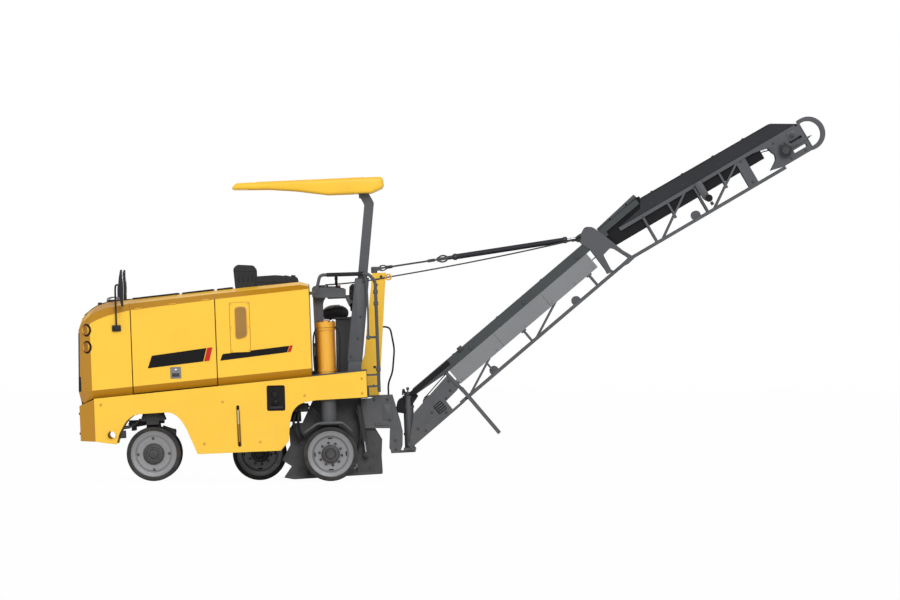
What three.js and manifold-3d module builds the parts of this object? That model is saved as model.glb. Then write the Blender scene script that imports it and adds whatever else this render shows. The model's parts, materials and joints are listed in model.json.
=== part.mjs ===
// A compact cold planer: a raked hull on four solid wheels with a milling drum at the rear,
// a stand-up operator's place under a canopy, and a slewing discharge conveyor held by a stay.
// Millimetres. +X runs from the nose to the discharge end, +Z up, -Y is the machine's left side.
import * as THREE from "three";
import { mergeVertices } from "three/addons/utils/BufferGeometryUtils.js";
import Module from "manifold-3d";

const wasm = await Module();
wasm.setup();

// ---- Driving dimensions -------------------------------------------------------------------
const gap = 0.3; // between pieces that touch
const bearingGap = 0.6; // between a pin or hub and what it turns in

// Hull. Its own frame has its origin on the front axle, and leans nose down by the rake.
const rake = THREE.MathUtils.degToRad(2.2);
const skirtHalf = 800; // hull centre to a skirt's outer face
const skirtWall = 40;
const skirtFront = -700; // front end of the side skirts
const hullRear = 2620; // rear face of the main frame
const deckFront = 698; // height of the deck at skirtFront
const deckSlope = 0.064; // rise of the deck per length, towards the rear
const frameBelly = 560; // underside of the main frame's long slab
const bumperFront = 617; // height of the bumper's front edge
const bumperGap = 8; // between the bumper's top edge and the deck or hood above it
const archTop = 500; // crown of the front wheel arches

// Hood
const hoodHalf = 790;
const hoodFoot = 70; // how far the hood tucks in at the deck
const hoodRoofHalf = 560; // half width of the flat roof
const noseHalf = 600; // half width of the front face
const noseX = -883;
const noseRear = -717; // where the nose reaches the hood's full width
const doorFront = -225; // seam between nose and engine door
const doorRear = 816; // seam between engine door and rear hood
const hoodRear = 1957;
const hoodWall = 30;
const seam = 11; // gap around an engine door
const footSeam = 12; // gap under it

// Wheels
const wheelRadius = 330;
const wheelWidth = 280;
const wheelFacets = 32;
const rimRadius = 277;
const hubRadius = 128;
const stubRadius = 95;
const frontTrack = 600; // hull centre to a front wheel's middle
const kingpinRadius = 42;
const steerArm = 240; // kingpin to tie rod
const rearAxle = 2148; // front axle to the left rear wheel
const columnRadius = 111; // left lifting column
const columnGap = 4; // between the column and the skirt beside it
const rearTrack = skirtHalf - skirtWall - columnGap - columnRadius;
const columnTop = 1525;
const legWall = 55;
const swingPivot = [1704, 690]; // swing leg's pivot, from the front axle and the hull centre
const swingReach = [-430, -270]; // from the pivot to the swung-in wheel's middle
const pivotRadius = 60;

// Milling drum and its chamber
const drumX = 2204;
const drumZ = 55;
const drumRadius = 350; // bare drum, without its picks
const pickReach = 60;
const drumLeft = -330;
const drumRight = 690;
const chamberWall = 15;
const sidePlateWall = 20;
const shaftRadius = 80;
const chamberTop = frameBelly + 20; // the drum chamber hangs under the frame here

// Operator's place
const floorWall = 16;
const seatY = 340;
const seatHeight = 1550;
const consoleY = -120;
const railY = -700;
const railRadius = 20;
const postHalf = 600; // hull centre to a canopy post's middle
const postWall = 60;
const roofHalf = 820;
const roofTop = 3256;
const roofFront = 1119; // front and rear ends of the roof's flat top
const roofRear = 2906;
const roofRise = 12; // from the front end to the rear one

// Conveyor, bracket and slewing frame
const slewX = 3112; // slewing axis
const luffZ = -5; // height of the luff pins
const slewTube = 61; // radius of the slewing frame's uprights
const slewTubeY = 250;
const slewTop = 575;
const luffPin = 28;
const bracketY = 420; // inner face of the bracket's side plates
const bracketTop = 606;
const bracketWall = 20;
const bracketFlange = [586, 720]; // its bolted flange on the main frame's rear face
const lowerAngle = THREE.MathUtils.degToRad(38.2); // lower section above the hull's own X
const bend = THREE.MathUtils.degToRad(10); // the upper section lies this much flatter
const tail = [3202, 40]; // start of the lower chord in the hull's frame
const lowerLength = 3420; // tail to the bend, along the chord
const upperLength = 2570; // bend to the head, along the chord
const beltHalf = 250;
const beltWall = 12;
const frameHalf = 338; // conveyor centre to a side frame's outer face
const chord = 40; // section of the side frames' tubes
const plateWall = 20; // foot and head plates of the side frames
const coverWall = 12;
const coverStart = 360; // foot end of the lower cover
const panelLow = 180;
const panelHigh = 393;
const panelEnd = lowerLength - 375;
const coverHigh = 513;
const railHigh = 395; // top of the upper section's rail
const gussetWall = 12;
const shaftSize = 28; // radius of the belt pulleys' shafts
const lugIn = 38; // conveyor centre to the inner face of a stay lug

// Stay between the mast and the conveyor
const mastHalf = 70;
const mastTop = 2096;
const anchor = [2758, 2150]; // swivel on the mast, in the hull's frame
const ear = [3100, 600]; // rod eye, along and above the lower chord
const stayRope = 11; // rope radius
const barrelRadius = 33;
const rodRadius = 17;

// ---- Shapes -------------------------------------------------------------------------------
// A closed three.js geometry as a manifold solid with its faces pointing out.
function solid(geometry) {
  const bare = geometry.index ? geometry.toNonIndexed() : geometry.clone();
  bare.deleteAttribute("normal");
  bare.deleteAttribute("uv");
  const merged = mergeVertices(bare, 1e-3);
  const triVerts = new Uint32Array(merged.index.array);
  const build = () => new wasm.Manifold(new wasm.Mesh({
    numProp: 3,
    vertProperties: merged.attributes.position.array,
    triVerts,
  }));
  const made = build();
  if (made.volume() > 0) return made;
  for (let i = 0; i < triVerts.length; i += 3) {
    [triVerts[i], triVerts[i + 1]] = [triVerts[i + 1], triVerts[i]];
  }
  return build();
}

function geometryOf(manifold) {
  const mesh = manifold.getMesh();
  const geometry = new THREE.BufferGeometry();
  geometry.setAttribute("position", new THREE.BufferAttribute(mesh.vertProperties, 3));
  geometry.setIndex(new THREE.BufferAttribute(mesh.triVerts, 1));
  geometry.computeVertexNormals();
  return geometry;
}

const join = (...solids) => solids.reduce((all, one) => all.add(one));
const sides = (make) => [make(-1), make(1)];

function box([x0, x1], [y0, y1], [z0, z1]) {
  const geometry = new THREE.BoxGeometry(x1 - x0, y1 - y0, z1 - z0);
  return solid(geometry.translate((x0 + x1) / 2, (y0 + y1) / 2, (z0 + z1) / 2));
}

// A closed outline through [a, b] points; a third number rounds that corner.
function outline(points) {
  const shape = new THREE.Shape();
  const corner = points.map(([a, b]) => new THREE.Vector2(a, b));
  points.forEach(([, , round = 0], i) => {
    const here = corner[i];
    const before = corner[(i + points.length - 1) % points.length];
    const after = corner[(i + 1) % points.length];
    const towards = (other) => {
      const reach = Math.min(round, other.distanceTo(here) * 0.49);
      return here.clone().add(other.clone().sub(here).setLength(reach));
    };
    const start = towards(before);
    const end = towards(after);
    if (i === 0) shape.moveTo(start.x, start.y);
    else shape.lineTo(start.x, start.y);
    if (round > 0) shape.quadraticCurveTo(here.x, here.y, end.x, end.y);
  });
  return shape;
}

function extrude(shape, depth, curveSegments = 4) {
  return new THREE.ExtrudeGeometry(shape, { depth, bevelEnabled: false, curveSegments });
}

// An outline in X and Z, as thick as [y0, y1].
function plate(points, [y0, y1]) {
  return solid(extrude(outline(points), y1 - y0).rotateX(Math.PI / 2).translate(0, y1, 0));
}

// An outline in X and Y, as thick as [z0, z1].
function plan(points, [z0, z1]) {
  return solid(extrude(outline(points), z1 - z0).translate(0, 0, z0));
}

// A round bar along Y at [x, z].
function barY([x, z], radius, [y0, y1], facets = 24) {
  const geometry = new THREE.CylinderGeometry(radius, radius, y1 - y0, facets);
  return solid(geometry.translate(x, (y0 + y1) / 2, z));
}

// A round bar along Z at [x, y].
function barZ([x, y], radius, [z0, z1], facets = 24) {
  const geometry = new THREE.CylinderGeometry(radius, radius, z1 - z0, facets);
  return solid(geometry.rotateX(Math.PI / 2).translate(x, y, (z0 + z1) / 2));
}

// A round bar between two points.
function bar(from, to, radius, facets = 12) {
  const start = new THREE.Vector3(...from);
  const along = new THREE.Vector3(...to).sub(start);
  const geometry = new THREE.CylinderGeometry(radius, radius, along.length(), facets);
  const turn = new THREE.Quaternion().setFromUnitVectors(
    new THREE.Vector3(0, 1, 0), along.clone().normalize());
  geometry.applyQuaternion(turn);
  const middle = start.addScaledVector(along, 0.5);
  return solid(geometry.translate(middle.x, middle.y, middle.z));
}

// A flat bar in the XZ plane between two [x, z] points.
function strut([xa, za], [xb, zb], width, [y0, y1]) {
  const length = Math.hypot(xb - xa, zb - za);
  const geometry = new THREE.BoxGeometry(length, y1 - y0, width);
  geometry.rotateY(-Math.atan2(zb - za, xb - xa));
  return solid(geometry.translate((xa + xb) / 2, (y0 + y1) / 2, (za + zb) / 2));
}

// A curve through a list of points, with a step at each of them.
class Route extends THREE.Curve {
  constructor(points) {
    super();
    this.points = points;
  }
  getPoint(t, target = new THREE.Vector3()) {
    const place = t * (this.points.length - 1);
    const index = Math.min(Math.floor(place), this.points.length - 2);
    return target.copy(this.points[index]).lerp(this.points[index + 1], place - index);
  }
  getUtoTmapping(u) {
    return u;
  }
}

// A round tube through corners, each rounded over the length turn.
function tube(corners, radius, turn, facets = 10) {
  const at = corners.map((c) => new THREE.Vector3(...c));
  const points = [at[0]];
  for (let i = 1; i < at.length - 1; i++) {
    const reach = (to) => at[i].clone().add(to.clone().sub(at[i]).setLength(turn));
    const curve = new THREE.QuadraticBezierCurve3(reach(at[i - 1]), at[i], reach(at[i + 1]));
    points.push(...curve.getPoints(4));
  }
  points.push(at.at(-1));
  const circle = new THREE.Shape().absarc(0, 0, radius, 0, 2 * Math.PI);
  return solid(new THREE.ExtrudeGeometry(circle, {
    steps: points.length - 1,
    extrudePath: new Route(points),
    curveSegments: facets / 2,
    bevelEnabled: false,
  }));
}

// A skin over convex sections, each a list of as many [x, y, z] points.
function loft(sections) {
  const count = sections[0].length;
  const position = sections.flat(2);
  const index = [];
  for (let s = 0; s < sections.length - 1; s++) {
    for (let i = 0; i < count; i++) {
      const a = s * count + i;
      const b = s * count + ((i + 1) % count);
      index.push(a, b, a + count, b, b + count, a + count);
    }
  }
  const last = (sections.length - 1) * count;
  for (let i = 1; i < count - 1; i++) {
    index.push(0, i + 1, i, last, last + i, last + i + 1);
  }
  const geometry = new THREE.BufferGeometry();
  geometry.setAttribute("position", new THREE.Float32BufferAttribute(position, 3));
  geometry.setIndex(index);
  return solid(geometry);
}

// ---- Scene graph --------------------------------------------------------------------------
const machine = new THREE.Group();
const hull = new THREE.Group();
hull.position.z = wheelRadius;
hull.rotation.y = -rake;
machine.add(hull);

// The conveyor's lower section: X along its lower chord, Z square to it.
const lower = new THREE.Group();
lower.position.set(tail[0], 0, tail[1]);
lower.rotation.y = -lowerAngle;
hull.add(lower);

const upper = new THREE.Group();
upper.position.x = lowerLength;
upper.rotation.y = bend;
lower.add(upper);

const colours = {
  yellow: [0xffcc44, 0.35, 0.1],
  gold: [0xd9981e, 0.3, 0.4],
  dark: [0x4e4f52, 0.5, 0.3],
  frame: [0x303134, 0.6, 0.3],
  grey: [0x808285, 0.45, 0.3],
  black: [0x26262c, 0.6, 0.1],
  rubber: [0x2d2d2f, 0.85, 0],
  steel: [0x96979c, 0.35, 0.8],
};

function piece(group, name, colour, made) {
  const [color, roughness, metalness] = colours[colour];
  const material = new THREE.MeshStandardMaterial({ color, roughness, metalness });
  const mesh = new THREE.Mesh(geometryOf(made), material);
  mesh.name = name;
  group.add(mesh);
}

// A named point without a shape, where a joint's axis or a mounting face lies.
function mark(group, name, x, y, z) {
  const point = new THREE.Object3D();
  point.name = name;
  point.position.set(x, y, z);
  group.add(point);
}

const deck = (x) => deckFront + (x - skirtFront) * deckSlope;
const onGround = (x) => -x * Math.tan(rake); // a wheel centre's height in the hull's frame
const sideName = (side) => (side < 0 ? "left" : "right");
const across = (side, a, b) => (side < 0 ? [-b, -a] : [a, b]);

// ---- Hull ---------------------------------------------------------------------------------
const wheelWellX = [530, 1640]; // the deep middle of the hull lies behind the front wheels
const hullBelly = -15;
const swingWell = 180; // the swung-in wheel has the space to the right of this

function mainFrame() {
  const inside = skirtHalf - skirtWall - gap;
  const front = skirtFront + gap;
  const slab = plate([
    [front, frameBelly],
    [wheelWellX[1] - 80, frameBelly],
    [wheelWellX[1] - 40, chamberTop],
    [hullRear, chamberTop],
    [hullRear, deck(hullRear) - gap],
    [front, deck(front) - gap],
  ], [-inside, inside]);
  const tank = plate([
    [wheelWellX[0] + 30, hullBelly + 10],
    [wheelWellX[1] - 90, hullBelly + 10],
    [wheelWellX[1] - 20, 300],
    [wheelWellX[1] - 20, frameBelly + 20],
    [wheelWellX[0] - 130, frameBelly + 20],
  ], [-inside, swingWell]);
  const pivot = barZ(swingPivot, pivotRadius, [swingLow + 10, frameBelly + 40], 28);
  const columnBore = barZ([columnX, -rearTrack], columnRadius + gap, [0, 2000], 36);
  return join(slab, tank, pivot).subtract(columnBore);
}

const skirtArch = [
  [skirtFront, 176],
  [-448, 133],
  [-404, 265],
  [-320, 416, 70],
  [-208, 490, 60],
  [228, archTop, 60],
  [335, 422, 60],
  [407, 294],
  [535, -22],
];

function leftSkirt() {
  const skin = plate([
    ...skirtArch,
    [1546, -18],
    [1648, 95],
    [1670, 319, 40],
    [1704, 457, 60],
    [1805, 552, 90],
    [2002, 577],
    [hullRear, 590],
    [hullRear, deck(hullRear)],
    [skirtFront, deckFront],
  ], [-skirtHalf, -skirtHalf + skirtWall]);
  const window = plate([
    [1397, 470, 25],
    [1620, 466, 25],
    [1623, 774, 25],
    [1402, 778, 25],
  ], [-skirtHalf - 1, -skirtHalf + skirtWall + 1]);
  const gauge = plate([
    [1032, 49, 16],
    [1066, 49, 16],
    [1058, 553, 16],
    [1026, 553, 16],
  ], [-skirtHalf - 1, -skirtHalf + skirtWall + 1]);
  const tieDown = barY([-504, 248], 48, [-skirtHalf - 1, -skirtHalf + skirtWall + 1], 20);
  return skin.subtract(window).subtract(gauge).subtract(tieDown);
}

function rightSkirt() {
  const skin = plate([
    ...skirtArch,
    [760, -22],
    [860, 470, 80],
    [940, 590, 60],
    [hullRear, 610],
    [hullRear, deck(hullRear)],
    [skirtFront, deckFront],
  ], [skirtHalf - skirtWall, skirtHalf]);
  const tieDown = barY([-504, 248], 48, [skirtHalf - skirtWall - 1, skirtHalf + 1], 20);
  return skin.subtract(tieDown);
}

// The bumper's top edge, which drops from the deck towards the nose.
function bumperTop(x) {
  const rear = deckFront - bumperGap;
  return bumperFront + (rear - bumperFront) * (x - noseX) / (skirtFront - noseX);
}

function frontBumper() {
  const wall = 40;
  const outer = [
    [skirtFront - gap, -skirtHalf],
    [noseX, -noseHalf - 30],
    [noseX, noseHalf + 30],
    [skirtFront - gap, skirtHalf],
  ];
  const inner = [
    [skirtFront + 1, -skirtHalf + wall],
    [noseX + wall, -noseHalf - 10],
    [noseX + wall, noseHalf + 10],
    [skirtFront + 1, skirtHalf - wall],
  ];
  const shell = plan(outer, [0, 800]).subtract(plan(inner, [-1, 801]));
  const shelf = plan(outer, [frameBelly, frameBelly + 30]);
  const profile = plate([
    [noseX - 1, 189],
    [noseX - 1, bumperTop(noseX - 1)],
    [skirtFront, bumperTop(skirtFront)],
    [skirtFront, 176],
  ], [-skirtHalf - 1, skirtHalf + 1]);
  return shell.add(shelf).intersect(profile);
}

// The hood's outside, as sections from the nose to the rear: x, half width of the side, height
// of the crease above the side, and height of the roof.
const hoodStations = [
  [noseX, noseHalf, 1500, 1548],
  [-808, 695, 1560, 1680],
  [noseRear, hoodHalf, 1612, 1764],
  [-625, hoodHalf, 1655, 1822],
  [-497, hoodHalf, 1700, 1864],
  [-217, hoodHalf, 1759, 1884],
  [283, hoodHalf, 1805, 1919],
  [798, hoodHalf, 1849, 1955],
  [1849, hoodHalf, 1925, 2022],
  [hoodRear, hoodHalf, 1933, 1989],
];

function hoodSection([x, half, crease, top], inset) {
  const side = half - inset;
  const roof = Math.min(hoodRoofHalf, half - 40) - inset;
  const shoulder = (side + roof) / 2 + 35;
  const lean = x === noseX ? [30, 0, 22, 24, 24] : [0, 0, 0, 0, 0];
  const footX = x + lean[0];
  const rest = footX < noseRear ? bumperTop(footX) + bumperGap : deck(x) + gap;
  const foot = rest - (inset ? 20 : 0);
  const rightHalf = [
    [footX, side - hoodFoot, foot],
    [x + lean[1], side, deck(x) + 100],
    [x + lean[2], side, crease - inset],
    [x + lean[3], shoulder, crease + (top - crease) * 0.62 - inset],
    [x + lean[4], roof, top - inset],
  ];
  const leftHalf = rightHalf.map(([px, py, pz]) => [px, -py, pz]).reverse();
  return [...rightHalf, ...leftHalf];
}

const hoodOuter = loft(hoodStations.map((s) => hoodSection(s, 0)));

const doorTop = [1759, 1851]; // height of the crease at the front and rear seams

// The outline of the side panel over the engine, up to the crease.
function doorOutline(spare, hinge) {
  const slope = (doorTop[1] - doorTop[0]) / (doorRear - doorFront);
  return [
    [doorFront + spare, 0],
    [doorRear - spare, 0],
    [doorRear - spare, doorTop[1] - spare * slope - hinge],
    [doorFront + spare, doorTop[0] + spare * slope - hinge],
  ];
}

const engineBay = loft(hoodStations.map((s) => hoodSection(s, hoodWall)));

function engineDoor(side) {
  const shell = hoodOuter.subtract(engineBay);
  const foot = plate([
    [doorFront, 0],
    [doorRear, 0],
    [doorRear, deck(doorRear) + footSeam],
    [doorFront, deck(doorFront) + footSeam],
  ], [-hoodHalf - 1, hoodHalf + 1]);
  const cut = plate(doorOutline(seam, bearingGap), across(side, hoodHalf - hoodFoot - 45, hoodHalf + 1));
  return shell.intersect(cut).subtract(foot);
}

function hoodTop() {
  const between = box([doorFront + gap, doorRear - gap], [-hoodHalf - 1, hoodHalf + 1], [0, 2100]);
  const doorways = plate(doorOutline(0, 0), [-hoodHalf - 1, hoodHalf + 1]);
  return hoodOuter.intersect(between).subtract(engineBay).subtract(doorways);
}

const grille = { half: 430, low: 880, high: 1440, depth: 70 };

function hoodFront() {
  const nose = hoodOuter.intersect(box([noseX - 1, doorFront], [-900, 900], [0, 2100]));
  const recess = box([noseX - 10, noseX + grille.depth], [-grille.half, grille.half],
    [grille.low, grille.high]);
  return nose.subtract(recess);
}

function frontGrille() {
  const x = [noseX + 45, noseX + grille.depth - gap];
  const frame = box(x, [-grille.half + gap, grille.half - gap],
    [grille.low + gap, grille.high - gap]);
  return frame;
}

function rearHood() {
  const body = hoodOuter.intersect(box([doorRear, hoodRear + 1], [-900, 900], [0, 2100]));
  return body;
}

function engineBlock() {
  const x = [-60, 640];
  return plate([
    [x[0], deck(x[0])],
    [x[1], deck(x[1])],
    [x[1], 1640],
    [x[0], 1640],
  ], [-330, 330]);
}

function roofLine(x) {
  const i = hoodStations.findIndex(([at]) => at >= x);
  const [x0, , , z0] = hoodStations[i - 1];
  const [x1, , , z1] = hoodStations[i];
  return z0 + (z1 - z0) * (x - x0) / (x1 - x0);
}

function exhaustBox() {
  const muffler = plate([
    [1060, roofLine(1060) + gap],
    [1330, roofLine(1330) + gap],
    [1330, 2190, 20],
    [1290, 2245, 20],
    [1090, 2262, 30],
    [1044, 2215, 20],
  ], [-330, -10]);
  const cover = plate([
    [1320, roofLine(1320) + gap],
    [1833, roofLine(1833) + gap],
    [1820, 2085, 30],
    [1560, 2117, 40],
    [1320, 2110, 20],
  ], [-360, 200]);
  return join(muffler, cover);
}

function mirror(side) {
  const y = hoodHalf + gap;
  const foot = plate([
    [-455, 1502, 10],
    [-331, 1502, 10],
    [-331, 1585, 10],
    [-455, 1585, 10],
  ], across(side, y, y + 22));
  const armY = side * (y + 45);
  const clamp = barZ([-392, armY], 27, [1520, 1568], 16);
  const bridge = box([-412, -372], across(side, y + 15, y + 45), [1525, 1563]);
  const arm = tube([
    [-392, armY, 1530],
    [-392, armY, 2066],
    [-335, side * (y + 120), 2066],
  ], 13, 40, 8);
  const glass = plan([
    [-340, side * (y + 20), 0],
    [-300, side * (y + 10), 0],
    [-291, side * (y + 120), 0],
    [-300, side * (y + 230), 0],
    [-340, side * (y + 220), 0],
  ], [1796, 2259]);
  return join(foot, bridge, clamp, arm, glass);
}

// ---- Front axle and wheels ----------------------------------------------------------------
const axleZ = [405, archTop - 10];
const yokeTop = axleZ[0] - bearingGap;
const yokeLow = yokeTop - 50;
const wheelInner = frontTrack - wheelWidth / 2; // a front wheel's inner face

function frontAxle() {
  const reach = frontTrack + 70;
  const beam = box([-90, 90], [-reach, reach], axleZ);
  const saddle = box([-130, 130], [-220, 220], [axleZ[0] - 40, frameBelly - gap]);
  const pins = sides((side) => barZ([0, side * frontTrack], kingpinRadius,
    [yokeLow, axleZ[0] + 5]));
  const guide = box([-300, -80], [-60, 60], [axleZ[0] - 30, axleZ[0] + 10]);
  return join(beam, saddle, guide, ...pins);
}

// The kingpin stands over the wheel's middle; a leg goes down inside the wheel to its hub.
function knuckle(side) {
  const leg = across(side, wheelInner - 20 - legWall, wheelInner - 20);
  const yoke = box([-75, 75], across(side, wheelInner - 20 - legWall, frontTrack + 75),
    [yokeLow, yokeTop]);
  const bore = barZ([0, side * frontTrack], kingpinRadius + bearingGap, [0, 600]);
  const plateDown = plate([
    [-75, yokeTop],
    [-110, 0, 60],
    [-60, -110, 60],
    [60, -110, 60],
    [110, 0, 60],
    [75, yokeTop],
  ], leg);
  const stub = barY([0, 0], stubRadius,
    across(side, wheelInner - 30, frontTrack - 60 - bearingGap), 28);
  const lever = box([-steerArm - 28, -60], across(side, wheelInner - 20 - legWall, wheelInner - 25),
    [yokeLow, yokeTop]);
  return join(yoke, lever).subtract(bore).add(plateDown).add(stub);
}

const tieY = wheelInner - 20 - legWall / 2; // where the tie rod meets a steering lever
function tieRod() {
  const z = yokeLow - 42;
  const rodBar = bar([-steerArm, -tieY - 20, z], [-steerArm, tieY + 20, z], 19, 12);
  const ends = sides((side) => barZ([-steerArm, side * tieY], 24, [z - 24, yokeLow - bearingGap], 16));
  return join(rodBar, ...ends);
}

// A solid rubber wheel with its middle at the origin, its outer side towards side * Y.
function wheel(side) {
  const w = wheelWidth / 2;
  const profile = [
    [0, -60],
    [stubRadius + 30, -60],
    [stubRadius + 45, -w + 35],
    [rimRadius + 8, -w + 35],
    [rimRadius + 14, -w],
    [wheelRadius - 20, -w],
    [wheelRadius, -w + 20],
    [wheelRadius, w - 20],
    [wheelRadius - 20, w],
    [rimRadius + 6, w],
    [rimRadius, w - 14],
    [222, w - 18],
    [213, w - 26],
    [204, w - 18],
    [hubRadius + 6, w - 22],
    [hubRadius, w + 6],
    [hubRadius - 14, w + 14],
    [52, w + 16],
    [49, w + 28],
    [0, w + 28],
  ];
  const points = profile.map(([r, y]) => new THREE.Vector2(r, y));
  const geometry = new THREE.LatheGeometry(points, wheelFacets);
  if (side < 0) geometry.rotateX(Math.PI);
  return solid(geometry);
}

function wheelAt(name, [x, y, z], side) {
  const hub = new THREE.Group();
  hub.position.set(x, y, z);
  hull.add(hub);
  piece(hub, name, "rubber", wheel(side));
  mark(hub, name + "_axis", 0, 0, 0);
}

// ---- Left rear leg ------------------------------------------------------------------------
const rearHub = onGround(rearAxle);
const columnX = rearAxle - 2;

function leftColumn() {
  const shaft = barZ([columnX, -rearTrack], columnRadius, [frameBelly + 40, columnTop - 40], 36);
  const collar = barZ([columnX, -rearTrack], columnRadius + 8, [columnTop - 70, columnTop], 36);
  return join(shaft, collar);
}

function leftLeg() {
  const ram = barZ([columnX, -rearTrack], columnRadius - 18, [280, frameBelly + 40 - gap], 32);
  const inner = -rearTrack + wheelWidth / 2; // wheel's inner face
  const head = box([columnX - 110, columnX + 110], [-rearTrack - 100, inner + 20 + legWall],
    [rearHub + wheelRadius + 25, 310]);
  const down = plate([
    [columnX - 110, 300],
    [rearAxle - 130, rearHub, 60],
    [rearAxle - 70, rearHub - 130, 60],
    [rearAxle + 70, rearHub - 130, 60],
    [rearAxle + 130, rearHub, 60],
    [columnX + 110, 300],
  ], [inner + 20, inner + 20 + legWall]);
  const stub = barY([rearAxle, rearHub], stubRadius,
    [-rearTrack + 60 + bearingGap, inner + 30], 28);
  const guard = plate([
    [1840, 176],
    [2003, 279],
    [2307, 279],
    [2423, 176],
    [2413, 196],
    [2307, 297],
    [2003, 297],
    [1845, 196],
  ], [-rearTrack - wheelWidth / 2, inner + 20]);
  return join(head, down, stub, guard, ram);
}

// ---- Right rear swing leg -----------------------------------------------------------------
const swingHub = [swingPivot[0] + swingReach[0], swingPivot[1] + swingReach[1]];
const swingHubZ = onGround(swingHub[0]);
const swingLow = swingHubZ + wheelRadius + 35; // underside of the swing arm
const swingHigh = swingLow + 110;
const sidePlateTop = swingLow - 18; // the swung-out arm passes over the side plate

function swingArm() {
  const legY = swingHub[1] + wheelWidth / 2 + 15; // leg on the outboard side of the wheel
  const boss = barZ(swingPivot, pivotRadius + 30, [swingLow, frameBelly - gap], 32);
  const bore = barZ(swingPivot, pivotRadius + bearingGap, [0, 900], 32);
  const beam = plan([
    [swingHub[0] - 100, swingHub[1] - 60, 40],
    [swingHub[0] + 60, swingHub[1] - 70, 40],
    [swingPivot[0] + 20, swingPivot[1] - 95, 40],
    [swingPivot[0] + 20, swingPivot[1] + 60, 40],
    [swingPivot[0] - 110, swingPivot[1] - 45, 40],
    [swingHub[0] - 100, legY + legWall, 40],
  ], [swingLow, swingHigh]);
  const down = plate([
    [swingHub[0] - 90, swingHigh],
    [swingHub[0] - 120, swingHubZ, 60],
    [swingHub[0] - 60, swingHubZ - 120, 60],
    [swingHub[0] + 60, swingHubZ - 120, 60],
    [swingHub[0] + 120, swingHubZ, 60],
    [swingHub[0] + 90, swingHigh],
  ], [legY, legY + legWall]);
  const stub = barY([swingHub[0], swingHubZ], stubRadius,
    [swingHub[1] + 60 + bearingGap, legY + 10], 28);
  return join(boss, beam).subtract(bore).add(down).add(stub);
}

// ---- Milling drum and chamber -------------------------------------------------------------
const chamberRadius = drumRadius + pickReach + 25;
const chamberShoulder = swingLow - 141; // the front wall leans back from here, behind the arm's boss

function drumHousing() {
  const y = [drumLeft - 15, drumRight + 15];
  const profile = [
    [drumX - chamberRadius - 20, drumZ - 340],
    [drumX - chamberRadius - 20, chamberShoulder],
    [drumX - 250, chamberTop - gap],
    [drumX + 330, chamberTop - gap],
    [drumX + chamberRadius + 20, drumZ + 260],
    [drumX + chamberRadius + 20, drumZ - 340],
  ];
  const outer = plate(profile, [y[0] - chamberWall, y[1] + chamberWall]);
  const space = plate([
    [drumX - chamberRadius, drumZ - 341],
    [drumX - chamberRadius, chamberShoulder - 5],
    [drumX - 238, chamberTop - 25],
    [drumX + 320, chamberTop - 25],
    [drumX + chamberRadius, drumZ + 250],
    [drumX + chamberRadius, drumZ - 341],
  ], y);
  const bearing = barY([drumX, drumZ], shaftRadius + bearingGap,
    [y[0] - chamberWall - 1, y[1] + chamberWall + 1], 32);
  const discharge = box([drumX + chamberRadius - 20, drumX + chamberRadius + 60], [-230, 230],
    [-60, 260]);
  return outer.subtract(space).subtract(bearing).subtract(discharge);
}

// The drum with its middle at the origin.
function millingDrum() {
  const shell = barY([0, 0], drumRadius, [drumLeft, drumRight], 48);
  const shaft = barY([0, 0], shaftRadius,
    [drumLeft - 15 - chamberWall, drumRight + 15 + chamberWall], 32);
  return join(shell, shaft);
}

function sidePlate(side) {
  const wall = side < 0 ? -drumLeft : drumRight;
  const from = wall + 15 + chamberWall + gap;
  return plate([
    [1700, sidePlateTop],
    [1650, sidePlateTop - 62],
    [1658, 40],
    [1552, -137, 10],
    [1665, -217],
    [1566, -352, 15],
    [1690, -378, 20],
    [2766, -352],
    [2760, -142],
    [2774, 60],
    [2640, sidePlateTop],
  ], across(side, from, from + sidePlateWall));
}

// ---- Operator's place ---------------------------------------------------------------------
function platform() {
  const x = [hoodRear + 6, hullRear];
  const inside = skirtHalf - 4;
  const pad = plate([
    [x[0], deck(x[0]) + gap],
    [x[1], deck(x[1]) + gap],
    [x[1], deck(x[1]) + gap + floorWall],
    [x[0], deck(x[0]) + gap + floorWall],
  ], [-inside, inside]);
  const hole = barZ([columnX, -rearTrack], columnRadius + gap, [0, 2000], 36);
  return pad.subtract(hole);
}

const floorAt = (x) => deck(x) + floorWall + 2 * gap;

function seatPedestal() {
  return plate([
    [2250, floorAt(2250)],
    [2500, floorAt(2500)],
    [2470, seatHeight - gap, 20],
    [2262, seatHeight - gap, 20],
  ], [seatY - 150, seatY + 150]);
}

function seatCushion() {
  return plate([
    [2090, seatHeight],
    [2440, seatHeight],
    [2440, seatHeight + 120, 40],
    [2340, seatHeight + 165, 50],
    [2110, seatHeight + 110, 40],
    [2075, seatHeight + 60, 20],
  ], [seatY - 240, seatY + 240]);
}

function seatBack() {
  return plate([
    [2442, seatHeight],
    [2478, seatHeight],
    [2505, seatHeight + 60],
    [2540, 2000, 30],
    [2470, 2000, 30],
    [2446, seatHeight + 60],
  ], [seatY - 200, seatY + 200]);
}

function controlConsole() {
  const desk = plate([
    [1993, 1830],
    [2061, 1820],
    [2399, 1811],
    [2403, 1912],
    [2273, 1941, 10],
    [1993, 1951, 20],
  ], [consoleY - 290, consoleY + 290]);
  const stand = plate([
    [2010, floorAt(2010)],
    [2120, floorAt(2120)],
    [2120, 1760, 40],
    [2160, 1825],
    [2000, 1840],
  ], [consoleY - 130, consoleY + 130]);
  return join(desk, stand);
}

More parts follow.
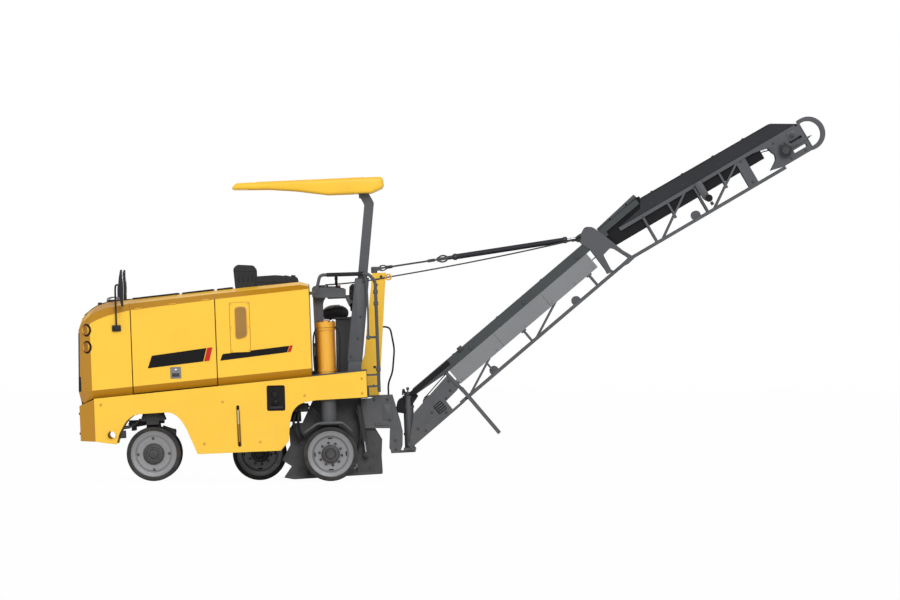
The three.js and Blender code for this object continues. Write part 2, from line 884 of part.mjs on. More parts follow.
const handrailRear = 2767;
function handrail() {
  const rail = tube([
    [hoodRear + gap, railY, 1880],
    [2044, railY, 1880],
    [2100, railY, 2095],
    [2690, railY, 2090],
    [2769, railY, 1990],
    [handrailRear, railY, 646],
  ], railRadius, 45, 12);
  const stays = [720, 860].map((z) => box([hullRear + gap, handrailRear], [railY - 12, railY + 12],
    [z - 12, z + 12]));
  return join(rail, ...stays);
}

function canopyPost(side) {
  const y = across(side, postHalf - postWall / 2, postHalf + postWall / 2);
  const foot = plate([
    [2394, floorAt(2394)],
    [2556, floorAt(2556)],
    [2690, 2042],
    [2526, 2042],
  ], y);
  const post = plate([
    [2545, 1950],
    [2655, 1950],
    [2784, 2958, 20],
    [2728, 3068],
    [2600, 3068],
    [2671, 2928, 20],
  ], across(side, postHalf - postWall / 2 + 5, postHalf + postWall / 2 - 5));
  return join(foot, post);
}

function canopyFrame() {
  const head = strut([2610, 3040], [2715, 3040], 50, [-postHalf, postHalf]);
  const rungs = strut([2560, 1900], [2600, 1900], 60, [-postHalf, postHalf]);
  return join(...sides(canopyPost), head, rungs);
}

function canopyRoof() {
  const low = 3068 + gap;
  const body = plate([
    [2761, low],
    [2915, 3129, 20],
    [roofRear, roofTop + roofRise / 2, 30],
    [roofFront, roofTop - roofRise / 2, 30],
    [1058, 3174],
    [1176, 3172],
    [1508, 3163],
    [1837, 3131],
    [2034, 3100],
    [2231, low],
  ], [-roofHalf, roofHalf]);
  const pocket = plate([
    [1250, 3000],
    [2550, 3000],
    [2550, 3210],
    [1250, 3210],
  ], [-roofHalf + 60, roofHalf - 60]);
  return body.subtract(pocket);
}

function stayMast() {
  const post = plate([
    [2530, floorAt(2530) + 1],
    [hullRear, floorAt(hullRear) + 1],
    [hullRear + gap, deck(hullRear)],
    [hullRear + gap, bracketFlange[1] + gap],
    [hullRear + bracketWall + 2 * gap, bracketFlange[1] + gap],
    [hullRear + bracketWall + 2 * gap, bracketTop + gap],
    [2762, bracketTop + gap],
    [2887, 1971],
    [2900, mastTop],
    [2734, mastTop],
    [2640, 1400],
    [2600, 1100],
  ], [-mastHalf, mastHalf]);
  const stud = barZ([anchor[0], 0], 20, [mastTop - 10, anchor[1] + 24], 20);
  const guide = barY([2928, 2040], 42, [-16, 16], 24).subtract(barY([2928, 2040], 22, [-17, 17], 20));
  const neck = box([2880, 2905], [-16, 16], [2015, 2065]);
  return join(post, stud, neck, guide);
}

function hydraulicHose() {
  return tube([
    [2840, 0, 1436],
    [2925, 0, 1432],
    [2968, 0, 1160],
    [2935, 0, 880],
    [2875, 0, 740],
    [2875, 0, bracketTop + gap],
  ], 11, 60, 8);
}

// ---- Conveyor bracket and slewing frame ---------------------------------------------------
const slewPlate = [-78, -48]; // the slewing frame's foot plate, low and high
const slewPin = 45;

function conveyorBracket() {
  const cheek = (side) => plate([
    [side < 0 ? 2540 : 2690, 575],
    [2660, 575],
    [2786, bracketTop],
    [2922, bracketTop],
    [3008, 270],
    [3030, 150],
    [3020, -60, 60],
    [2938, -119, 60],
    [2860, -60, 40],
    [2878, 200],
    [side < 0 ? 2533 : 2690, 213],
  ], across(side, bracketY, bracketY + 20));
  const back = plate([
    [hullRear + gap, bracketFlange[1]],
    [hullRear + gap, bracketFlange[0]],
    [2922, bracketTop - bracketWall],
    [2922, bracketTop],
    [hullRear + bracketWall + gap, bracketTop],
    [hullRear + bracketWall + gap, bracketFlange[1]],
  ], [-bracketY - 5, bracketY + 5]);
  const low = slewPlate[0] - bearingGap - 26;
  const table = plan([
    [2880, -bracketY - 5],
    [2990, -bracketY - 5],
    [3180, -110, 60],
    [3180, 110, 60],
    [2990, bracketY + 5],
    [2880, bracketY + 5],
  ], [low, slewPlate[0] - bearingGap]);
  const pin = barZ([slewX, 0], slewPin, [low + 5, slewPlate[1]], 28);
  return join(cheek(-1), cheek(1), back, table, pin);
}

function slewFrame() {
  const foot = box([slewX - 75, slewX + 75], [-slewTubeY - slewTube, slewTubeY + slewTube],
    slewPlate);
  const bore = barZ([slewX, 0], slewPin + bearingGap, [-200, 100], 28);
  const tubes = sides((side) => barZ([slewX, side * slewTubeY], slewTube,
    [slewPlate[0] + 5, slewTop], 28));
  const pins = sides((side) => barY([slewX, luffZ], luffPin,
    across(side, slewTubeY, frameHalf + 6), 24));
  const brace = box([slewX - 25, slewX + 25], [-slewTubeY, slewTubeY], [slewTop - 60, slewTop - 20]);
  const cap = barZ([slewX, -slewTubeY], 40, [slewTop - 5, slewTop + 60], 20);
  const nipple = barZ([slewX, -slewTubeY], 9, [slewTop + 50, slewTop + 105], 10);
  return join(foot.subtract(bore), ...tubes, ...pins, brace, cap, nipple);
}

// ---- Conveyor -----------------------------------------------------------------------------
// The luff pin in the lower section's frame.
const fromTail = [slewX - tail[0], luffZ - tail[1]];
const luff = [
  fromTail[0] * Math.cos(lowerAngle) + fromTail[1] * Math.sin(lowerAngle),
  -fromTail[0] * Math.sin(lowerAngle) + fromTail[1] * Math.cos(lowerAngle),
];
const innerFace = frameHalf - plateWall;
const tubeHalf = chord / 2;
const tailCentre = [430, 240];
const tailRadius = 90;
const headCentre = [2450, 300];
const headRadius = 100;
const lowerPlaces = (...shares) => shares.map((share) => share * lowerLength);
const lowerPosts = lowerPlaces(0.542, 0.848);
const lowerBraces = lowerPlaces(0.248, 0.557); // low ends of the diagonals
const braceRun = 500; // a diagonal's length along the chord
const braceTop = panelLow + 20;
const upperPosts = [380, 1100];
const hangers = [727, 1449]; // short posts under the upper section's rail

// Points of the lower section's plane from points of the upper one.
function fromUpper([u, v]) {
  return [
    lowerLength + u * Math.cos(bend) + v * Math.sin(bend),
    -u * Math.sin(bend) + v * Math.cos(bend),
  ];
}

// A side of the lower section: the foot plate that the luff pin holds, and a truss from it on.
function lowerTruss(side) {
  const outside = across(side, innerFace - 1, frameHalf + 1);
  const band = across(side, frameHalf - 34, frameHalf - coverWall - gap);
  const foot = plate([
    [luff[0] - 40, luff[1] - 50, 30],
    [0, -28],
    [742, -24],
    [767, 4],
    [573, 4],
    [578, 133],
    [767, 148],
    [795, 160],
    [819, 367],
    [185, 277],
    [-70, 60, 40],
  ], across(side, innerFace, frameHalf));
  const vent = plate([
    [411, 61, 12],
    [531, 61, 12],
    [531, 186, 12],
    [411, 186, 12],
  ], outside);
  const luffBore = barY(luff, luffPin + bearingGap, outside, 24);
  const shaftBore = barY(tailCentre, shaftSize + bearingGap, outside, 24);
  const low = box([700, lowerLength], across(side, frameHalf - chord, frameHalf),
    [-tubeHalf, tubeHalf]);
  const back = box([800, panelEnd], band, [panelLow + 10, panelLow + 50]);
  const posts = lowerPosts.map((at) => strut([at, 0], [at, braceTop], 30, band));
  const diagonals = lowerBraces.map((at) => strut([at, 0], [at + braceRun, braceTop], 26, band));
  const hangerAt = lowerBraces[0] + 408;
  const hanger = strut([hangerAt, 165], [hangerAt, 57], 26, band);
  return foot.subtract(join(vent, luffBore, shaftBore))
    .add(join(low, back, ...posts, ...diagonals, hanger));
}

// A side of the upper section: chord, rail, posts, diagonals and the plate that holds the head.
function upperTruss(side) {
  const band = across(side, frameHalf - 26, frameHalf - 6);
  const tube = across(side, frameHalf - chord, frameHalf);
  const chordTube = box([12, upperLength - 380], tube, [-tubeHalf, tubeHalf]);
  const rail = box([60, upperLength - 20], tube, [railHigh - 45, railHigh]);
  const posts = upperPosts.map((at) => strut([at, 0], [at, railHigh - 10], 30, band));
  const short = hangers.map((at) => strut([at, 145], [at, railHigh - 10], 26, band));
  const wide = strut([1750, 0], [1750, railHigh - 10], 130, band);
  const diagonals = [[465, 1000], [1193, 1740]].map(([from, to]) =>
    strut([from, 10], [to, railHigh - 15], 26, band));
  const head = plate([
    [2010, 60],
    [2174, 20, 20],
    [upperLength + 10, 20],
    [upperLength + 10, 375],
    [1800, 375],
    [2180, 300, 30],
    [2134, 141, 30],
  ], across(side, innerFace, frameHalf));
  const shaftBore = barY(headCentre, shaftSize + bearingGap,
    across(side, innerFace - 30, frameHalf + 1), 24);
  const slots = [[2370, 2545, 216, 248], [2370, 2548, 92, 130]].map(([from, to, low, high]) => plate([
    [from, low, 12],
    [to, low, 12],
    [to, high, 12],
    [from, high, 12],
  ], across(side, innerFace - 30, frameHalf + 1)));
  const frame = join(chordTube, rail, ...posts, ...short, wide, ...diagonals, head)
    .subtract(join(shaftBore, ...slots));
  return side < 0 ? frame.add(barY([2290, 180], 62, [-frameHalf - 95, -frameHalf + 10], 20)) : frame;
}

// A ladder between the side frames that carries the belt's return rollers.
function rollerFrame() {
  const reach = frameHalf - chord - gap;
  const low = [760, 0];
  const middle = [lowerLength, 0];
  const high = fromUpper([2040, 0]);
  const rails = sides((side) => join(
    strut(low, middle, 30, across(side, reach - 10, reach)),
    strut(middle, high, 30, across(side, reach - 10, reach)),
  ));
  const rollers = [
    ...lowerPlaces(0.37, 0.754).map((at) => [at, 37]),
    fromUpper([950, 50]),
  ].map((at) => barY(at, 58, [-reach, reach], 20));
  const ties = [
    ...lowerPlaces(0.247, 0.56, 0.88).map((at) => [[at - 15, 0], [at + 15, 0]]),
    ...[...hangers, 1790].map((at) => [fromUpper([at - 15, 0]), fromUpper([at + 15, 0])]),
  ].map(([from, to]) => strut(from, to, 30, [-reach + 2, reach - 2]));
  return join(...rails, ...rollers, ...ties);
}

function beltPulley(centre, radius) {
  const face = barY(centre, radius, [-beltHalf - 10, beltHalf + 10], 28);
  return face.add(barY(centre, shaftSize, [-frameHalf, frameHalf], 20));
}

function lowerCover() {
  const outer = plate([
    [coverStart, coverHigh - 80],
    [coverStart, coverHigh],
    [lowerLength + 510, coverHigh],
    [lowerLength + 510, 440],
    [lowerLength - 20, 440],
    [lowerLength - 20, panelHigh + gap],
    [760, panelHigh + gap],
  ], [-frameHalf, frameHalf]);
  const inner = plate([
    [0, 0],
    [lowerLength + 1000, 0],
    [lowerLength + 1000, coverHigh - coverWall],
    [0, coverHigh - coverWall],
  ], [-frameHalf + coverWall, frameHalf - coverWall]);
  return outer.subtract(inner);
}

const sidePanel = (side) => plate([
  [850, panelHigh],
  [panelEnd, panelHigh],
  [panelEnd, panelLow],
  [850, panelLow],
], across(side, frameHalf - coverWall, frameHalf));

// Points of a polygon around a circle, its sides clear of the circle.
function arc([u, v], radius, from, to, steps) {
  const step = THREE.MathUtils.degToRad((to - from) / steps);
  const reach = radius / Math.cos(step / 2);
  return Array.from({ length: steps + 1 }, (_, i) => {
    const angle = THREE.MathUtils.degToRad(from) + i * step;
    return [u + reach * Math.cos(angle), v + reach * Math.sin(angle)];
  });
}

function beltLoop(lift) {
  return [
    ...arc(tailCentre, tailRadius + lift, 285, 80, 8),
    [1100, 440 + lift - beltWall],
    [lowerLength, 440 + lift - beltWall],
    ...[[180, 430 + lift - beltWall], [2150, 430 + lift - beltWall]].map(fromUpper),
    ...arc(headCentre, headRadius + lift, 82, -110, 8).map(fromUpper),
    ...[[2050, 310 - lift], [60, 310 - lift]].map(fromUpper),
    [1000, 290 - lift],
  ];
}

function conveyorBelt() {
  const outer = plate(beltLoop(beltWall), [-beltHalf, beltHalf]);
  return outer.subtract(plate(beltLoop(bearingGap), [-beltHalf - 1, beltHalf + 1]));
}

// Round hoops beside the head pulley, joined by a bar.
function headGuard() {
  const centre = [2634, 217];
  const outer = 207;
  const inner = 157;
  const foot = [2560, 2600];
  const hoop = (side) => {
    const y = across(side, innerFace - gap - 20, innerFace - gap);
    const ring = barY(centre, outer, y, 40).subtract(barY(centre, inner, [-frameHalf, frameHalf], 40));
    const rear = ring.subtract(box([0, foot[1] - 10], [-frameHalf, frameHalf], [-100, 600]));
    return rear.add(box(foot, y, [40, 395]));
  };
  const cross = barY([centre[0] + (outer + inner) / 2, centre[1]], 18,
    [-frameHalf + 30, frameHalf - 30], 14);
  return join(hoop(-1), hoop(1), cross);
}

function upperCover() {
  const outer = plate([
    [60, railHigh + gap],
    [400, 466],
    [471, 576, 20],
    [2281, 563, 30],
    [2563, railHigh + gap],
  ], [-frameHalf + 12, frameHalf - 12]);
  const inner = plate([
    [0, 300],
    [0, 700],
    [474, 700],
    [474, 564],
    [2275, 551],
    [2570, 376],
    [2570, 300],
  ], [-frameHalf + 24, frameHalf - 24]);
  return outer.subtract(inner);
}

const gussetY = frameHalf + gap;
function stayGussets() {
  const cheek = (side) => plate([
    [3078, 40],
    [3140, 19],
    [3352, -33],
    [3466, -28, 20],
    [3407, 144],
    [3348, 451],
    [3310, 595, 30],
    [3242, 656, 30],
    [3156, 622, 30],
    [3072, 541, 20],
    [3110, 397],
    [3091, 93],
  ], across(side, gussetY, gussetY + gussetWall));
  const hole = plate([
    [3191, 248, 20],
    [3311, 258, 20],
    [3341, 217, 10],
    [3400, 25, 10],
    [3176, 15, 20],
    [3145, 40, 20],
  ], [-400, 400]);
  const tubeAt = [3240, 570];
  const cross = barY(tubeAt, 30, [-gussetY - 5, gussetY + 5], 20);
  const lugs = sides((side) => plate([
    [ear[0] - 34, ear[1] - 30, 20],
    [ear[0] - 34, ear[1] + 34, 20],
    [ear[0] + 20, ear[1] + 34, 20],
    [tubeAt[0] + 25, tubeAt[1] + 32, 10],
    [tubeAt[0] + 25, tubeAt[1] - 30, 10],
    [ear[0], ear[1] - 36, 20],
  ], across(side, lugIn, lugIn + gussetWall)));
  return join(cheek(-1), cheek(1)).subtract(hole).add(join(cross, ...lugs));
}

const standU = 822;
function conveyorStand() {
  const y = (side) => across(side, frameHalf + 30, frameHalf + 55);
  const legs = sides((side) => strut([standU, 130], [standU, -585], 45, y(side)));
  const foot = box([standU - 22, standU + 22], [-frameHalf - 40, frameHalf + 40], [-585, -545]);
  const pins = sides((side) => barY([standU, 0], 14,
    across(side, frameHalf + bearingGap, frameHalf + 40), 16));
  return join(...legs, foot, ...pins);
}

// ---- Stay ---------------------------------------------------------------------------------
// The rod eye in the hull's frame, and the stay's slope from the swivel to it.
const eye = [
  tail[0] + ear[0] * Math.cos(lowerAngle) - ear[1] * Math.sin(lowerAngle),
  tail[1] + ear[0] * Math.sin(lowerAngle) + ear[1] * Math.cos(lowerAngle),
];
const swivelPin = 72; // from the stud to the swivel's cross pin
const stayRun = [eye[0] - anchor[0] - swivelPin, eye[1] - anchor[1]];
const stayLength = Math.hypot(...stayRun);
const staySlope = Math.atan2(stayRun[1], stayRun[0]);
const barrelEnd = stayLength - 140;
const barrelLength = 1415;
const clevisLength = 175;

const stay = new THREE.Group();
stay.position.set(anchor[0] + swivelPin, 0, anchor[1]);
stay.rotation.y = -staySlope;
hull.add(stay);

function staySwivel() {
  const body = barZ([anchor[0], 0], 38, [mastTop + gap, anchor[1] + 20], 24);
  const bore = barZ([anchor[0], 0], 20 + bearingGap, [mastTop - 20, anchor[1] + 60], 20);
  const cheeks = sides((side) => plate([
    [anchor[0] + 22, anchor[1] - 30],
    [anchor[0] + swivelPin + 20, anchor[1] - 26, 15],
    [anchor[0] + swivelPin + 20, anchor[1] + 24, 15],
    [anchor[0] + 22, anchor[1] + 20],
  ], across(side, 18, 28)));
  const pin = barY([anchor[0] + swivelPin, anchor[1]], 9, [-28, 28], 14);
  return body.add(join(...cheeks)).subtract(bore).add(pin);
}

function ropeSling() {
  const start = barY([0, 0], 24, [-12, 12], 20).subtract(barY([0, 0], 9 + bearingGap, [-13, 13], 14));
  const clevis = barrelEnd - barrelLength - clevisLength;
  const rope = bar([20, 0, 0], [clevis, 0, 0], stayRope, 10);
  const ferrules = [110, clevis - 90].map((u) => bar([u - 45, 0, 0], [u + 45, 0, 0], stayRope + 8, 12));
  const end = barY([clevis, 0], 30, [-14, 14], 20);
  const fork = box([clevis - 6, barrelEnd - barrelLength - gap], [-11, 11], [-20, 20]);
  return join(start, rope, ...ferrules, end, fork);
}

function stayBarrel() {
  const u = [barrelEnd - barrelLength, barrelEnd];
  const shell = bar([u[0], 0, 0], [u[1], 0, 0], barrelRadius, 28);
  const bore = bar([u[1] - 900, 0, 0], [u[1] + 1, 0, 0], rodRadius + bearingGap, 20);
  return shell.subtract(bore);
}

function stayRod() {
  const rod = bar([barrelEnd - 560, 0, 0], [stayLength - 20, 0, 0], rodRadius, 20);
  const ring = barY([stayLength, 0], 32, [-11, 11], 24);
  return join(rod, ring);
}

// ---- Assembly -----------------------------------------------------------------------------
piece(hull, "main_frame", "frame", mainFrame());
piece(hull, "left_skirt", "yellow", leftSkirt());
piece(hull, "right_skirt", "yellow", rightSkirt());
piece(hull, "front_bumper", "yellow", frontBumper());
piece(hull, "hood_front", "yellow", hoodFront());
piece(hull, "front_grille", "black", frontGrille());
piece(hull, "hood_top", "yellow", hoodTop());
piece(hull, "rear_hood", "yellow", rearHood());
piece(hull, "engine_block", "frame", engineBlock());
piece(hull, "exhaust_box", "black", exhaustBox());
for (const side of [-1, 1]) {
  piece(hull, sideName(side) + "_engine_door", "yellow", engineDoor(side));
  mark(hull, sideName(side) + "_door_hinge", doorFront, side * hoodHalf, doorTop[0] - bearingGap);
  mark(hull, sideName(side) + "_door_hinge_end", doorRear, side * hoodHalf,
    doorTop[1] - bearingGap);
  piece(hull, sideName(side) + "_mirror", "black", mirror(side));
  piece(hull, sideName(side) + "_knuckle", "frame", knuckle(side));
  mark(hull, sideName(side) + "_kingpin", 0, side * frontTrack, 0);
  wheelAt(sideName(side) + "_front_wheel", [0, side * frontTrack, 0], side);
  piece(hull, sideName(side) + "_side_plate", "dark", sidePlate(side));
  piece(lower, sideName(side) + "_lower_truss", "dark", lowerTruss(side));
  piece(upper, sideName(side) + "_upper_truss", "dark", upperTruss(side));
  piece(lower, sideName(side) + "_conveyor_panel", "grey", sidePanel(side));
}
piece(hull, "front_axle", "frame", frontAxle());
piece(hull, "tie_rod", "frame", tieRod());
piece(hull, "left_rear_column", "gold", leftColumn());
piece(hull, "left_rear_leg", "dark", leftLeg());
wheelAt("left_rear_wheel", [rearAxle, -rearTrack, rearHub], -1);
piece(hull, "right_rear_arm", "dark", swingArm());
mark(hull, "swing_pivot", swingPivot[0], swingPivot[1], swingHigh);
wheelAt("right_rear_wheel", [swingHub[0], swingHub[1], swingHubZ], -1);
piece(hull, "drum_housing", "dark", drumHousing());
const drum = new THREE.Group();
drum.position.set(drumX, 0, drumZ);
hull.add(drum);
piece(drum, "milling_drum", "steel", millingDrum());
mark(drum, "drum_axis", 0, 0, 0);
piece(hull, "platform", "dark", platform());
piece(hull, "seat_pedestal", "dark", seatPedestal());
piece(hull, "seat_cushion", "black", seatCushion());
piece(hull, "seat_back", "black", seatBack());
piece(hull, "control_console", "dark", controlConsole());
piece(hull, "handrail", "black", handrail());
piece(hull, "canopy_frame", "dark", canopyFrame());
piece(hull, "canopy_roof", "yellow", canopyRoof());
piece(hull, "stay_mast", "yellow", stayMast());
piece(hull, "hydraulic_hose", "rubber", hydraulicHose());
piece(hull, "conveyor_bracket", "dark", conveyorBracket());
piece(hull, "slew_frame", "dark", slewFrame());
mark(hull, "slew_axis", slewX, 0, 0);
mark(hull, "luff_axis", slewX, 0, luffZ);
piece(lower, "roller_frame", "dark", rollerFrame());
piece(lower, "tail_pulley", "frame", beltPulley(tailCentre, tailRadius));
piece(lower, "conveyor_lower_cover", "dark", lowerCover());
piece(lower, "conveyor_belt", "rubber", conveyorBelt());
piece(lower, "stay_gussets", "dark", stayGussets());
piece(lower, "conveyor_stand", "dark", conveyorStand());
mark(lower, "stand_hinge", standU, 0, 0);
piece(upper, "head_pulley", "frame", beltPulley(headCentre, headRadius));
piece(upper, "head_guard", "dark", headGuard());
piece(upper, "conveyor_upper_cover", "black", upperCover());
piece(hull, "stay_swivel", "frame", staySwivel());
piece(stay, "stay_rope", "frame", ropeSling());
piece(stay, "stay_barrel", "black", stayBarrel());
piece(stay, "stay_rod", "steel", stayRod());
mark(hull, "swivel_axis", anchor[0], 0, anchor[1]);
mark(stay, "stay_pin", 0, 0, 0);
mark(stay, "stay_end", stayLength, 0, 0);
mark(hull, "bumper_face", noseX, 0, 400);
mark(hull, "roof_top", (roofFront + roofRear) / 2, 0, roofTop);

// The origin lies on the floor under the middle of the machine's box.
const bounds = new THREE.Box3().setFromObject(machine, true);
machine.position.set(-(bounds.min.x + bounds.max.x) / 2, -(bounds.min.y + bounds.max.y) / 2,
  -bounds.min.z);
const model = new THREE.Group();
model.add(machine);

export default model;
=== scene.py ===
"""Looks for a compact cold planer: wheels, labels, seat, ropes, fittings and finishes on its CAD frame."""
import json
import math

import bmesh
import bpy
from bpy.props import FloatProperty, FloatVectorProperty, IntProperty, PointerProperty
from mathutils import Matrix, Vector
from mathutils.bvhtree import BVHTree


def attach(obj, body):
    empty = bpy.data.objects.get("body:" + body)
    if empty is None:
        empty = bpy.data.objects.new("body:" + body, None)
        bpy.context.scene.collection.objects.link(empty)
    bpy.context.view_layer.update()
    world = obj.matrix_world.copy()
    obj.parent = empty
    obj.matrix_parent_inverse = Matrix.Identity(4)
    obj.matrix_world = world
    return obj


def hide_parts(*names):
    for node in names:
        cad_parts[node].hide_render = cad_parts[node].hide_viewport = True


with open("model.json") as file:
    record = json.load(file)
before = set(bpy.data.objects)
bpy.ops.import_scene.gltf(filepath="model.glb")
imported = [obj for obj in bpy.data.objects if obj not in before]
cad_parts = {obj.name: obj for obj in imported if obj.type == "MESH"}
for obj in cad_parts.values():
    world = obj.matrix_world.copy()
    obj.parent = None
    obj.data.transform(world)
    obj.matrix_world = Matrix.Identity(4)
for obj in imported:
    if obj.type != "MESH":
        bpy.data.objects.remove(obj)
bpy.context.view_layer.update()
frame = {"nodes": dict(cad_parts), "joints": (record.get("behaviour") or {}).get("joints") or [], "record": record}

bl_info = {
    "name": "Cold Planer Details",
    "version": (1, 0, 0),
    "blender": (4, 5, 0),
    "location": "View3D > Sidebar > Planer",
    "description": "Adds wheels, trim, seat, ropes, fittings and finishes to a cold planer's frame",
    "category": "Object",
}

JOINTS = {joint["name"]: joint for joint in frame["joints"]}
FINISHES = {}


# ---- The machine's own frames -----------------------------------------------------------------
def to_side(side):
    """The turn that takes what faces -Y to a side."""
    return Matrix.Identity(4) if side < 0 else Matrix.Rotation(math.pi, 4, "Z")


def at(x, y, z):
    """A move by x, y and z."""
    return Matrix.Translation((x, y, z))


def about(axis, degrees):
    """A turn about X, Y or Z."""
    return Matrix.Rotation(math.radians(degrees), 4, axis)


UPRIGHT = about("X", 90)


def lie_along(origin, direction):
    """Matrix of a frame whose X runs along direction and whose Y is the machine's."""
    along = Vector(direction).normalized()
    across = Vector((0, 1, 0))
    turn = Matrix((along, across, along.cross(across))).transposed()
    return Matrix.Translation(origin) @ turn.to_4x4()


def offset(place, x, z):
    """The frame moved by x along itself and z square to itself."""
    return place @ at(x, 0, z)


def tilt(place, degrees):
    """The frame turned nose up about its own Y."""
    return place @ about("Y", -degrees)


WORLD = Matrix.Identity(4)
SIDES = ((-1, "left"), (1, "right"))
slew_up = Vector(JOINTS["conveyor_slew"]["axis"])
axle = Vector(JOINTS["left_front_roll"]["pos_m"])
axle.y = 0
HULL = lie_along(axle, Vector((0, 1, 0)).cross(slew_up))
lower_turn = tilt(HULL, 38.2).to_3x3()
LOWER = lie_along(Vector(JOINTS["stand_fold"]["pos_m"]) - lower_turn @ Vector((0.822, 0, 0)),
    lower_turn @ Vector((1, 0, 0)))
UPPER = tilt(offset(LOWER, 3.42, 0), -10)
STAY = lie_along(JOINTS["stay_pitch"]["pos_m"], JOINTS["stay_extend"]["axis"])


def at_joint(name):
    """The hull's frame moved to a joint's place."""
    return Matrix.Translation(JOINTS[name]["pos_m"]) @ HULL.to_3x3().to_4x4()


# ---- Modelling helpers ------------------------------------------------------------------------
def only(obj):
    """Leaves obj alone selected and active."""
    bpy.ops.object.select_all(action="DESELECT")
    obj.select_set(True)
    bpy.context.view_layer.objects.active = obj
    return obj


def fix_place():
    """Puts the active object's place, turn and scale into its mesh."""
    bpy.ops.object.transform_apply(location=True, rotation=True, scale=True)
    return bpy.context.object


def in_edit_mode(obj, work):
    """Runs work(mesh) in edit mode, with everything deselected first."""
    only(obj)
    bpy.ops.object.mode_set(mode="EDIT")
    bpy.ops.mesh.select_all(action="DESELECT")
    work(bmesh.from_edit_mesh(obj.data))
    bpy.ops.object.mode_set(mode="OBJECT")
    return obj


def select_faces(mesh, wanted):
    """Selects the faces for which wanted(face) is true."""
    for face in mesh.faces:
        face.select = bool(wanted(face))
    mesh.select_flush_mode()
    bmesh.update_edit_mesh(bpy.context.object.data)


def with_modifier(obj, kind, **settings):
    """Adds a modifier, sets it and applies it."""
    only(obj)
    modifier = obj.modifiers.new(kind.title(), kind)
    for name, value in settings.items():
        setattr(modifier, name, value)
    bpy.ops.object.modifier_apply(modifier=modifier.name)
    return obj


def softened(obj, width, segments=2):
    """Rounds the sharp edges of obj."""
    return with_modifier(obj, "BEVEL", width=width, segments=segments, limit_method="ANGLE",
        angle_limit=math.radians(40), use_clamp_overlap=True)


def block(low, high, edge=0.004):
    """A box between two corners with softened edges."""
    bpy.ops.object.select_all(action="DESELECT")
    centre = [(a + b) / 2 for a, b in zip(low, high)]
    size = [b - a for a, b in zip(low, high)]
    bpy.ops.mesh.primitive_cube_add(size=1, location=centre, scale=size)
    return softened(fix_place(), edge)


def rod(start, end, radius, sides=20, edge=0.0):
    """A round bar between two points, its rims softened by edge."""
    start, end = (Vector(start), Vector(end))
    run = end - start
    bpy.ops.object.select_all(action="DESELECT")
    bpy.ops.mesh.primitive_cylinder_add(vertices=sides, radius=radius, depth=run.length,
        location=(start + end) / 2, rotation=run.to_track_quat("Z", "Y").to_euler())
    obj = fix_place()
    return softened(obj, edge) if edge else obj


def rounded(points, steps=4):
    """Points of an outline whose third number rounds that corner."""
    made = []
    for i, point in enumerate(points):
        here = Vector(point[:2])
        if len(point) < 3:
            made.append(here)
            continue
        before, after = (Vector(points[i - 1][:2]), Vector(points[(i + 1) % len(points)][:2]))
        reach = min(point[2], (before - here).length * 0.49, (after - here).length * 0.49)
        start = here + (before - here).normalized() * reach
        end = here + (after - here).normalized() * reach
        for step in range(steps + 1):
            t = step / steps
            made.append((1 - t) ** 2 * start + 2 * t * (1 - t) * here + t ** 2 * end)
    return made


def rect(x0, z0, x1, z1, *corner):
    """Outline of an upright rectangle, its corners rounded by corner if that is given."""
    return [(x, z, *corner) for x, z in ((x0, z0), (x1, z0), (x1, z1), (x0, z1))]


def sheet(corners, fill="NGON"):
    """A flat mesh, or a loop of edges, through corners."""
    bpy.ops.object.select_all(action="DESELECT")
    bpy.ops.mesh.primitive_circle_add(vertices=len(corners), radius=1, fill_type=fill)
    obj = bpy.context.object
    for vertex, corner in zip(obj.data.vertices, corners):
        vertex.co = corner
    return obj


def thickened(obj, depth):
    """A flat mesh drawn out along Y."""
    def thicken(_):
        bpy.ops.mesh.select_all(action="SELECT")
        bpy.ops.mesh.extrude_region_move(TRANSFORM_OT_translate={"value": (0, depth, 0)})
        bpy.ops.mesh.select_all(action="SELECT")
        bpy.ops.mesh.normals_make_consistent(inside=False)
    return in_edit_mode(obj, thicken)


def panel(points, y0, y1, edge=0.002):
    """A plate whose outline lies in X and Z, between two heights in Y."""
    obj = thickened(sheet([(x, y0, z) for x, z in rounded(points)]), y1 - y0)
    return softened(obj, edge) if edge else obj


def turned(profile, steps=48):
    """A closed profile of (radius, y) points spun about Y."""
    def spin(_):
        bpy.ops.mesh.select_all(action="SELECT")
        bpy.ops.mesh.spin(steps=steps, angle=2 * math.pi, center=(0, 0, 0), axis=(0, 1, 0))
        bpy.ops.mesh.select_all(action="SELECT")
        bpy.ops.mesh.remove_doubles(threshold=2e-05)
        bpy.ops.mesh.dissolve_degenerate(threshold=1e-05)
        bpy.ops.mesh.select_all(action="SELECT")
        bpy.ops.mesh.delete_loose()
        bpy.ops.mesh.select_all(action="SELECT")
        bpy.ops.mesh.normals_make_consistent(inside=False)
    return in_edit_mode(sheet([(radius, y, 0) for radius, y in profile], "NOTHING"), spin)


def hose(points, radius, sides=3):
    """A smooth round tube through points, as a mesh with closed ends."""
    curve = bpy.data.curves.new("hose", "CURVE")
    curve.dimensions = "3D"
    curve.bevel_depth = radius
    curve.bevel_resolution = sides
    curve.use_fill_caps = True
    spline = curve.splines.new("NURBS")
    spline.points.add(len(points) - 1)
    for point, where in zip(spline.points, points):
        point.co = (*where, 1)
    spline.order_u = min(4, len(points))
    spline.use_endpoint_u = True
    spline.resolution_u = 8
    obj = bpy.data.objects.new("hose", curve)
    bpy.context.scene.collection.objects.link(obj)
    only(obj)
    bpy.ops.object.convert(target="MESH")
    obj = bpy.context.object

    def close(_):
        bpy.ops.mesh.select_all(action="SELECT")
        bpy.ops.mesh.remove_doubles(threshold=5e-05)
        bpy.ops.mesh.normals_make_consistent(inside=False)
    return in_edit_mode(obj, close)


